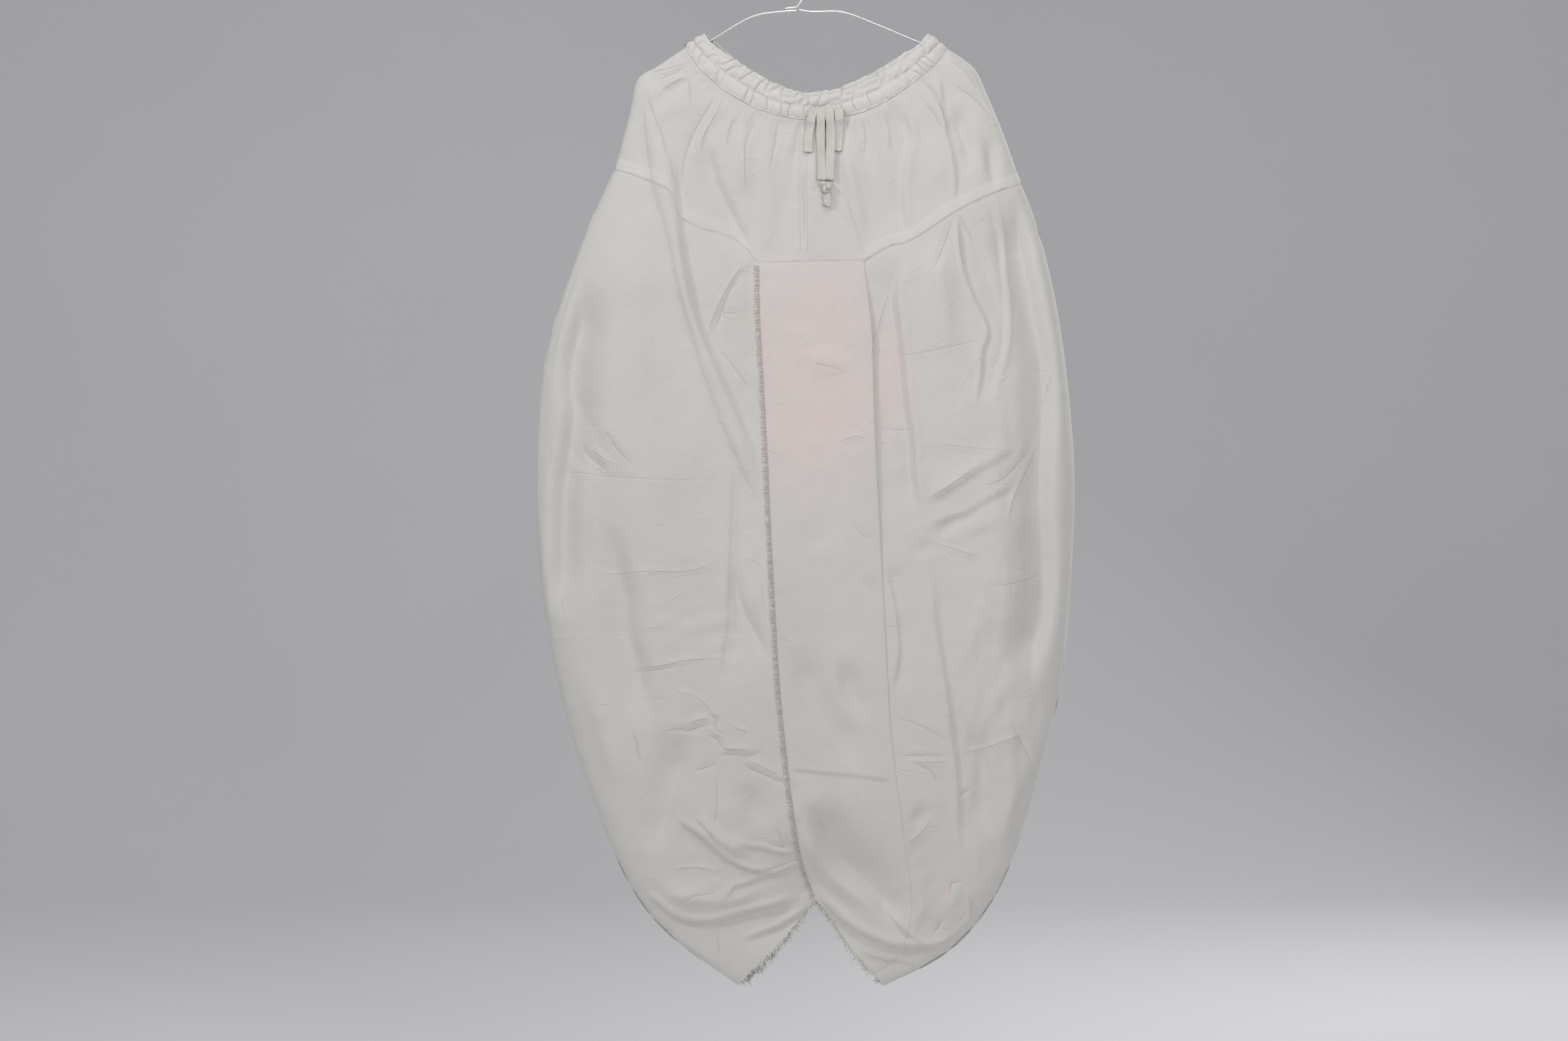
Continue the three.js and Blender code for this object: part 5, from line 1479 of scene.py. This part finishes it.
def round_band(cell, seed, stretch=1.0, slant=0.0):
    """Noise that runs round the band and closes at its left fold."""
    down = np.broadcast_to(BAND_HEIGHT * BAND_SHARES, (BAND_COLUMNS, len(BAND_PROFILE)))
    run = (BAND_TURN * BAND_TURNS + slant * down).ravel()
    squeezed = down.ravel() / stretch
    first = noise(run, squeezed, cell, seed).reshape(down.shape)
    again = noise(run - 2 * BAND_TURN, squeezed, cell, seed).reshape(down.shape)
    share = smooth((2 - BAND_TURNS) * BAND_TURN / 12)
    return first * share + again * (1 - share)


def band_crumple():
    """Noise whose zero lines are the crevices of the band, closer in its lower tier."""
    upper = round_band(8.5, BAND_SEED, 3.0, 0.25)
    lower = round_band(5.5, BAND_SEED + 1, 4.0, -0.2)
    return np.where(BAND_SHARES < TIER_BREAK, upper, lower)


def raised_band():
    """How far each point of the band stands out: crumpled puffs between crevices, unlike in each tier."""
    t, s = BAND_TURNS, BAND_SHARES
    puff = np.abs(band_crumple()) ** 0.45
    drift = 0.9 * np.sin(2 * np.pi * 5 * t) + 0.6 * np.sin(2 * np.pi * 13 * t)
    wave = 0.5 + 0.5 * np.cos(2 * np.pi * GATHERS_PER_SIDE * t + drift + 1.6 * s)
    small = round_band(3.4, BAND_SEED + 2, 1.6)
    raised = 0.3 * TIER_BULGE + GATHER_HEIGHT * (1.1 * puff + 0.15 * wave)
    return BAND_SWELLS * raised + 0.3 * small


def band_wobble():
    """The band's edges run unevenly up and down with its gathers."""
    t, s = BAND_TURNS, BAND_SHARES
    rough = 1.3 * round_band(7, BAND_SEED + 3) + 0.8 * round_band(3.2, BAND_SEED + 4)
    up = rough * (1 - smooth(s / 0.3)) + 0.6 * rough * smooth((s - 0.8) / 0.2)
    middle = 1.1 * round_band(13, BAND_SEED + 5) * np.exp(-(((s - TIER_BREAK) / 0.2) ** 2))
    sway = 0.8 * np.sin(2 * np.pi * 19 * t + 5 * s) * np.sin(np.pi * s)
    return np.stack([sway, 0 * up, up + middle], axis=-1)


def make_waistband(cotton):
    """The band, with a crisp line in each crevice. Gives its grid for the stitches."""
    crumple = band_crumple().ravel()
    grid = band_grid()
    # the whole band is double cloth, so it is painted paler all over as light
    piece = add_cotton("waistband", grid, cotton, ring=True, thickness=BAND_THICK,
                       painted_light_where_double=lambda x, y, z: np.full(len(x), BAND_DOUBLE_PAINTED_LIGHT),
                       lines=(CREVICE_SPREAD * crumple, np.full(len(crumple), -1.0)))
    return grid


# ---- stitching and raw edges -------------------------------------------------------------------

STITCH_RADIUS = 0.28           # of its thread
FRAY_RADIUS = 0.42
OVERLOCK_RADIUS = 0.38
BAND_STITCH = np.array([0, 2, 5])   # the band's columns that one of its stitches goes through
BAND_STITCH_PITCH = 7          # columns from stitch to stitch

# Rows of stitches along lines of the front view, each stitch raised by out over the cloth.
StitchRow = namedtuple("StitchRow", "line pitch length side out seed")


def stitch_rows():
    """The sewn lines beside the seams."""
    centre_front = CURVES["centre_front"](np.linspace(0.03, 0.93, 60))
    centre_back = CURVES["centre_back"](np.linspace(0.05, 0.97, 60))
    crotch_back = CURVES["crotch_back"](np.linspace(0.01, 0.97, 120))
    return [
        StitchRow(centre_front + (-6, 0), 2.6, 1.9, -1, 0.25, 100),
        StitchRow(centre_front + (2, 0), 2.6, 1.9, -1, 0.25, 101),
        StitchRow(centre_back + (4, 0), 2.6, 1.9, 1, 0.25, 103),
        StitchRow(YOKE_FOOT[2:-2] + (0, 1.6), 2.6, 1.9, -1, 0.2, 105),
        StitchRow(YOKE_FOOT_BACK[2:-2] + (0, 1.6), 2.6, 1.9, 1, 0.2, 106),
        StitchRow(crotch_back + (3, 0), 2.8, 2.0, 1, 0.25, 108),
    ]


def stitches(row):
    """Short stitches of three points each, which rise in their middle."""
    rng = np.random.default_rng(row.seed)
    count = int(length_of(row.line) / row.pitch)
    fine = even(row.line, count * 4)
    share = 4 * row.length / row.pitch
    made = []
    for start in np.arange(count) * 4:
        at = start + share * np.array([0, 0.5, 1.0]) + rng.uniform(-0.2, 0.2)
        made.append(read_at(fine, np.clip(at, 0, len(fine) - 1)))
    flat = np.concatenate(made)
    points = cloth_at(flat[:, 0], flat[:, 1], row.side, row.out).reshape(-1, 3, 3)
    points[:, 1, 1] += 0.12 * row.side
    return list(points)


def band_stitches(grid):
    """Three rows round the waistband, which dip between its gathers."""
    normal = grid_normals(grid, True)
    lines = []
    for row in BAND_STITCHES:
        line = grid[:, row] + 0.25 * normal[:, row]
        for start in range(0, len(line) - BAND_STITCH_PITCH, BAND_STITCH_PITCH):
            lines.append(line[start + BAND_STITCH])
    return lines


def make_stitching(thread, band):
    lines = [line for row in stitch_rows() for line in stitches(row)]
    piece = strands("stitching", lines + band_stitches(band), STITCH_RADIUS, thread)
    assign(piece)


# Raw edges: a stretch of a named line read at so many places, and its loose threads.
RawEdge = namedtuple("RawEdge", "line start end places side count longest toward seed")
RAW_EDGES = [
    RawEdge("hem_left_back", 0.04, 0.96, 80, 1, 160, 8, (0.62, -0.78), 201),
    RawEdge("hem_left_front", 0.06, 0.94, 80, -1, 260, 8, (0.62, -0.78), 206),
    RawEdge("hem_panel", 0.02, 1, 60, -1, 260, 9, (-0.72, -0.69), 202),
    RawEdge("hem_leg_right", 0, 0.9, 20, -1, 30, 5, (-0.4, -0.9), 203),
    RawEdge("hem_right_back", 0.02, 0.97, 60, 1, 300, 9, (-0.72, -0.69), 204),
]
OVERLOCK_SEED = 205


def fray(edge):
    """Loose thread ends that hang from a raw edge, about a mean direction in (x, z)."""
    rng = np.random.default_rng(edge.seed)
    line = CURVES[edge.line](np.linspace(edge.start, edge.end, edge.places))
    flat = read_at(line, rng.uniform(0, 1, edge.count) * (len(line) - 1))
    toward_x, toward_z = edge.toward
    share = np.linspace(0, 1, 5)[:, None]
    lines = []
    for root in cloth_at(flat[:, 0], flat[:, 1], edge.side, -0.4):
        length = edge.longest * rng.uniform(0.25, 1) ** 1.6
        turn = rng.normal(0, 0.5)
        heading = [toward_x + turn * toward_z, rng.normal(0, 0.35), toward_z - turn * toward_x]
        heading = np.array(heading) / np.linalg.norm(heading)
        curl = rng.normal(0, 0.35, 3)
        lines.append(root + length * (share - 0.15) * heading + length * share**2 * curl)
    return lines


def overlock():
    """Short bent threads over the panel's raw allowance on the left leg's seam."""
    rng = np.random.default_rng(OVERLOCK_SEED)
    flats = []
    for x, z in CURVES["crotch_front"](np.linspace(0.005, 0.995, 460)):
        reach = RAW_EDGE * rng.uniform(0.5, 1.6)
        slope = rng.normal(0, 1.1)
        flats.append([(x + 0.8, z), (x - 0.5 * reach, z + 0.5 * slope), (x - reach, z + slope)])
    flats = np.array(flats)
    points = cloth_at(flats[..., 0], flats[..., 1], -1, np.tile([0.9, 2.3, 1.6], len(flats)))
    return [strand + FORWARD * rng.uniform(0, 0.5) for strand in points.reshape(-1, 3, 3)]


def make_frays(thread, worn):
    frayed = [line for edge in RAW_EDGES for line in fray(edge)]
    for name, lines, radius, material in (("frayed_threads", frayed, FRAY_RADIUS, thread),
                                          ("overlock_threads", overlock(), OVERLOCK_RADIUS, worn)):
        assign(strands(name, lines, radius, material))


# ---- the drawstring ----------------------------------------------------------------------------
# Routes of the tapes down the front of the yoke: x, z, and how far each place stands off.

Tape = namedtuple("Tape", "name width thick far_end route")
TAPES = [
    Tape("drawstring_left", 8, 1.6, "knot",
         [(17, -188, -0.2), (16.6, -206, 2.4), (16.6, -225, 1.8), (17, -247, 1.8), (17.6, -268.3, 3.4)]),
    Tape("drawstring_right", 8, 1.6, "knot",
         [(25.5, -188, -0.2), (26.3, -197, 3), (27.2, -208, 4.4), (27.4, -225, 4.4), (27, -245, 3.8),
          (26.1, -268.3, 3.4)]),
    Tape("drawstring_loop", 8, 1.6, "bare",
         [(36.5, -188, -0.2), (37, -204, 2.4), (36, -222, 2.0), (34.5, -236, 1.6)]),
    Tape("drawstring_short", 8, 1.6, "bare",
         [(8, -188, -0.2), (5, -206, 2.4), (3, -222, 2.0), (3, -237, 1.5)]),
]
TAIL = Tape("drawstring_tail", 7, 1.8, "bare", [(22, -284, 4.4), (24, -291, 4.2), (22.5, -297, 4.2)])
KNOT = (22, -276, 5.2)         # x, z, and how far its middle stands off the yoke
KNOT_RADIUS = 3.0              # of the doubled tape in it
TAPE_RESTS = (-3, 0, 3)        # places across a tape that lie on the cloth
TAPE_DIP = 0.8                 # how far it may sink in between two crests
TAPE_EASING = 7                # steps of its path that its stiffness evens out


def front_of(x, z):
    """y of whatever cloth shows in front at a place near the centre: the band or the yoke."""
    x, z = np.atleast_1d(x).astype(float), np.atleast_1d(z).astype(float)
    yoke = cloth_at(x, z, -1)[:, 1]
    band = -body_at(x, z, -1)[0] - TIER_BULGE - BAND_CREST
    on_band = (z > BAND_FOOT_CENTRE[1]) | (nearest(BAND_FOOT, x, z).distance < NEAR_BAND)
    return np.where(on_band, np.minimum(yoke, band), yoke)


def tape_path(tape):
    """The middle line of a tape, which rests on the crests of the cloth behind its width."""
    route = np.array([(x, z) for x, z, _ in tape.route], float)
    flat = spline(route, ROUTE_STEPS)
    off = spline([(clear, z) for _, z, clear in tape.route], ROUTE_STEPS)[:, 0]
    crests = np.min([front_of(flat[:, 0] + across, flat[:, 1]) for across in TAPE_RESTS], axis=0)
    padded = np.pad(crests, TAPE_EASING // 2, mode="edge")
    eased = np.convolve(padded, np.full(TAPE_EASING, 1 / TAPE_EASING), mode="valid")
    return np.stack([flat[:, 0], np.minimum(eased, crests + TAPE_DIP) - off, flat[:, 1]], axis=1)


# Shares of a tape's half width and half thickness round its section, with its edges rolled forward.
TAPE_SECTION = [
    (-0.9, -0.5), (-0.55, -0.95), (0, -0.9), (0.55, -0.95), (0.9, -0.5), (1, 0.5),
    (0.93, 1.35), (0.8, 1.25), (0.6, 0.6), (0.3, 0.5), (0.1, 0.95), (-0.12, 0.5),
    (-0.5, 0.6), (-0.74, 1.2), (-0.92, 1.35), (-1, 0.5),
]


def make_tape(tape, material):
    """A flat woven tape that twists a little as it hangs, and is drawn in where it comes out."""
    centres = tape_path(tape)
    tangent = unit(np.gradient(centres, axis=0))
    out = unit(FORWARD - tangent * (tangent @ FORWARD)[:, None])
    across = np.cross(tangent, out)
    twist = 0.28 * np.sin(np.linspace(0, 5, len(centres)) + tape.route[0][0])
    turned_across = across * np.cos(twist)[:, None] + out * np.sin(twist)[:, None]
    turned_out = out * np.cos(twist)[:, None] - across * np.sin(twist)[:, None]
    wide = 1.27 + 0.06 * np.sin(np.linspace(0, 21, len(centres)))
    narrow = np.ones(len(centres))
    narrow[0] = 0.8
    scale_across = (tape.width / 2 * wide * narrow)[:, None]
    piece = tube(tape.name + "_tape", centres, turned_across * scale_across, turned_out * tape.thick / 2,
                 TAPE_SECTION, material)
    assign(piece, tape.name)
    return piece, centres


def knot_path():
    """An overhand knot, drawn tight."""
    turn = np.linspace(0.25, 2 * np.pi - 0.25, 90)
    x = np.sin(turn) + 1.55 * np.sin(2 * turn)
    z = np.cos(turn) - 1.55 * np.cos(2 * turn)
    y = -np.sin(3 * turn)
    middle = np.array([KNOT[0], float(front_of(KNOT[0], KNOT[1])[0]) - KNOT[2], KNOT[1]])
    return middle + np.stack([1.75 * x, 2.0 * y, 1.95 * z], axis=1)


def round_tube(name, centres, radius, material, sides=12, flat=1.0):
    """A tube round a path, carried along it without twisting. flat squeezes its section one way."""
    tangent = unit(np.gradient(centres, axis=0))
    across = np.empty_like(centres)
    across[0] = np.cross(tangent[0], (0, 1, 0.1))
    for k in range(len(centres)):
        held = across[max(0, k - 1)]
        held = held - tangent[k] * (held @ tangent[k])
        across[k] = held / np.linalg.norm(held)
    out = np.cross(across, tangent)
    return tube(name, centres, across * radius, out * radius * flat, circle(sides), material)


def make_drawstring(material):
    knot = round_tube("drawstring_knot_tape", knot_path(), KNOT_RADIUS, material, flat=0.72)
    assign(knot, "drawstring_knot")
    made = {tape.name: make_tape(tape, material) for tape in [*TAPES, TAIL]}


# ---- the hanger --------------------------------------------------------------------------------

HOOK_RADIUS = 19               # of its inside
HOOK_TURNS = np.radians(np.arange(195, -26, -20))   # round it, from its tip to its stem
NECK = (-9, -75)               # where the shoulders meet under the hook


def blend(first, second, start, end, t):
    """Between two points, by how far t has come from start to end."""
    return first * (end - t) / (end - start) + second * (t - start) / (end - start)


def centripetal(points, count):
    """A smooth curve through unevenly spaced points, which doesn't overshoot."""
    p = np.asarray(points, float)
    p = np.concatenate([[2 * p[0] - p[1]], p, [2 * p[-1] - p[-2]]])
    made = []
    for k in range(1, len(p) - 2):
        quad = p[k - 1:k + 3]
        knots = np.concatenate([[0], np.cumsum(np.linalg.norm(np.diff(quad, axis=0), axis=1) ** 0.5)])
        t = np.linspace(knots[1], knots[2], ARC_STEPS + 1)[:-1, None]
        near = [blend(quad[i], quad[i + 1], knots[i], knots[i + 1], t) for i in range(3)]
        wide = [blend(near[i], near[i + 1], knots[i], knots[i + 2], t) for i in range(2)]
        made.append(blend(*wide, knots[1], knots[2], t))
    return even(np.concatenate([*made, p[-2:-1]]), count)


def arm_under(curve, shoulder, turn):
    """Points of an arm under a yoke's sloping edge, out to the shoulder at a share of that edge."""
    t = np.linspace(0, 1, 5) * shoulder
    heading = unit(curve(t + 0.01) - curve(np.maximum(0, t - 0.01)))
    inward = np.stack([-turn * heading[:, 1], turn * heading[:, 0]], axis=1)
    return (curve(t) + WIRE_SEAT * inward).tolist()


def make_wire(name, points, count, material):
    flat = centripetal(points, count)
    centres = np.stack([flat[:, 0], 0 * flat[:, 0], flat[:, 1]], axis=1)
    piece = round_tube(name + "_wire", centres, WIRE_RADIUS, material, sides=14)
    assign(piece, name)


def make_hanger(material):
    reach = HOOK_RADIUS + WIRE_RADIUS
    arc = [(reach * math.cos(a), -HOOK_RADIUS + reach * math.sin(a)) for a in HOOK_TURNS]
    stem = [(8, -41), (-1, -58), (-7, -69), (-11, -72.6), (-17, -73.4), (-23, -74.1)]
    make_wire("hanger_hook", arc + stem, 120, material)
    right = [(NECK[0] + 1, NECK[1] - 0.6), (6, -77.6), (41, -78.2), (84, -94), (128, -112.4),
             *arm_under(CURVES["side_yoke_right"], 0.22, -1), (190, -156), (187, -169)]
    bar = [(172, -177), (120, -179), (0, -180), (-120, -179), (-166, -177)]
    left = [(-180, -170), (-184, -158), *arm_under(CURVES["side_yoke_left"], 0.33, 1)[::-1],
            (-108, -110.9), (-59, -83), (-22, -77.2), (NECK[0], NECK[1] - 1.4)]
    make_wire("hanger_frame", right + bar + left, 420, material)


# ---- the scene ---------------------------------------------------------------------------------

def main():
    make_camera()
    tape = tape_material()
    make_drawstring(tape)
    cotton = cotton_material()
    thread = thread_material("thread", THREAD)
    band = make_waistband(cotton)
    make_yokes(cotton)
    make_legs(cotton)
    make_panel(cotton)
    make_stitching(thread, band)
    make_frays(thread, thread_material("worn_thread", WORN_THREAD))
    make_hanger(wire_material())
    make_backdrop(backdrop_material())
    make_lights()
    make_world()
    bpy.context.scene.view_settings.view_transform = "Standard"


main()
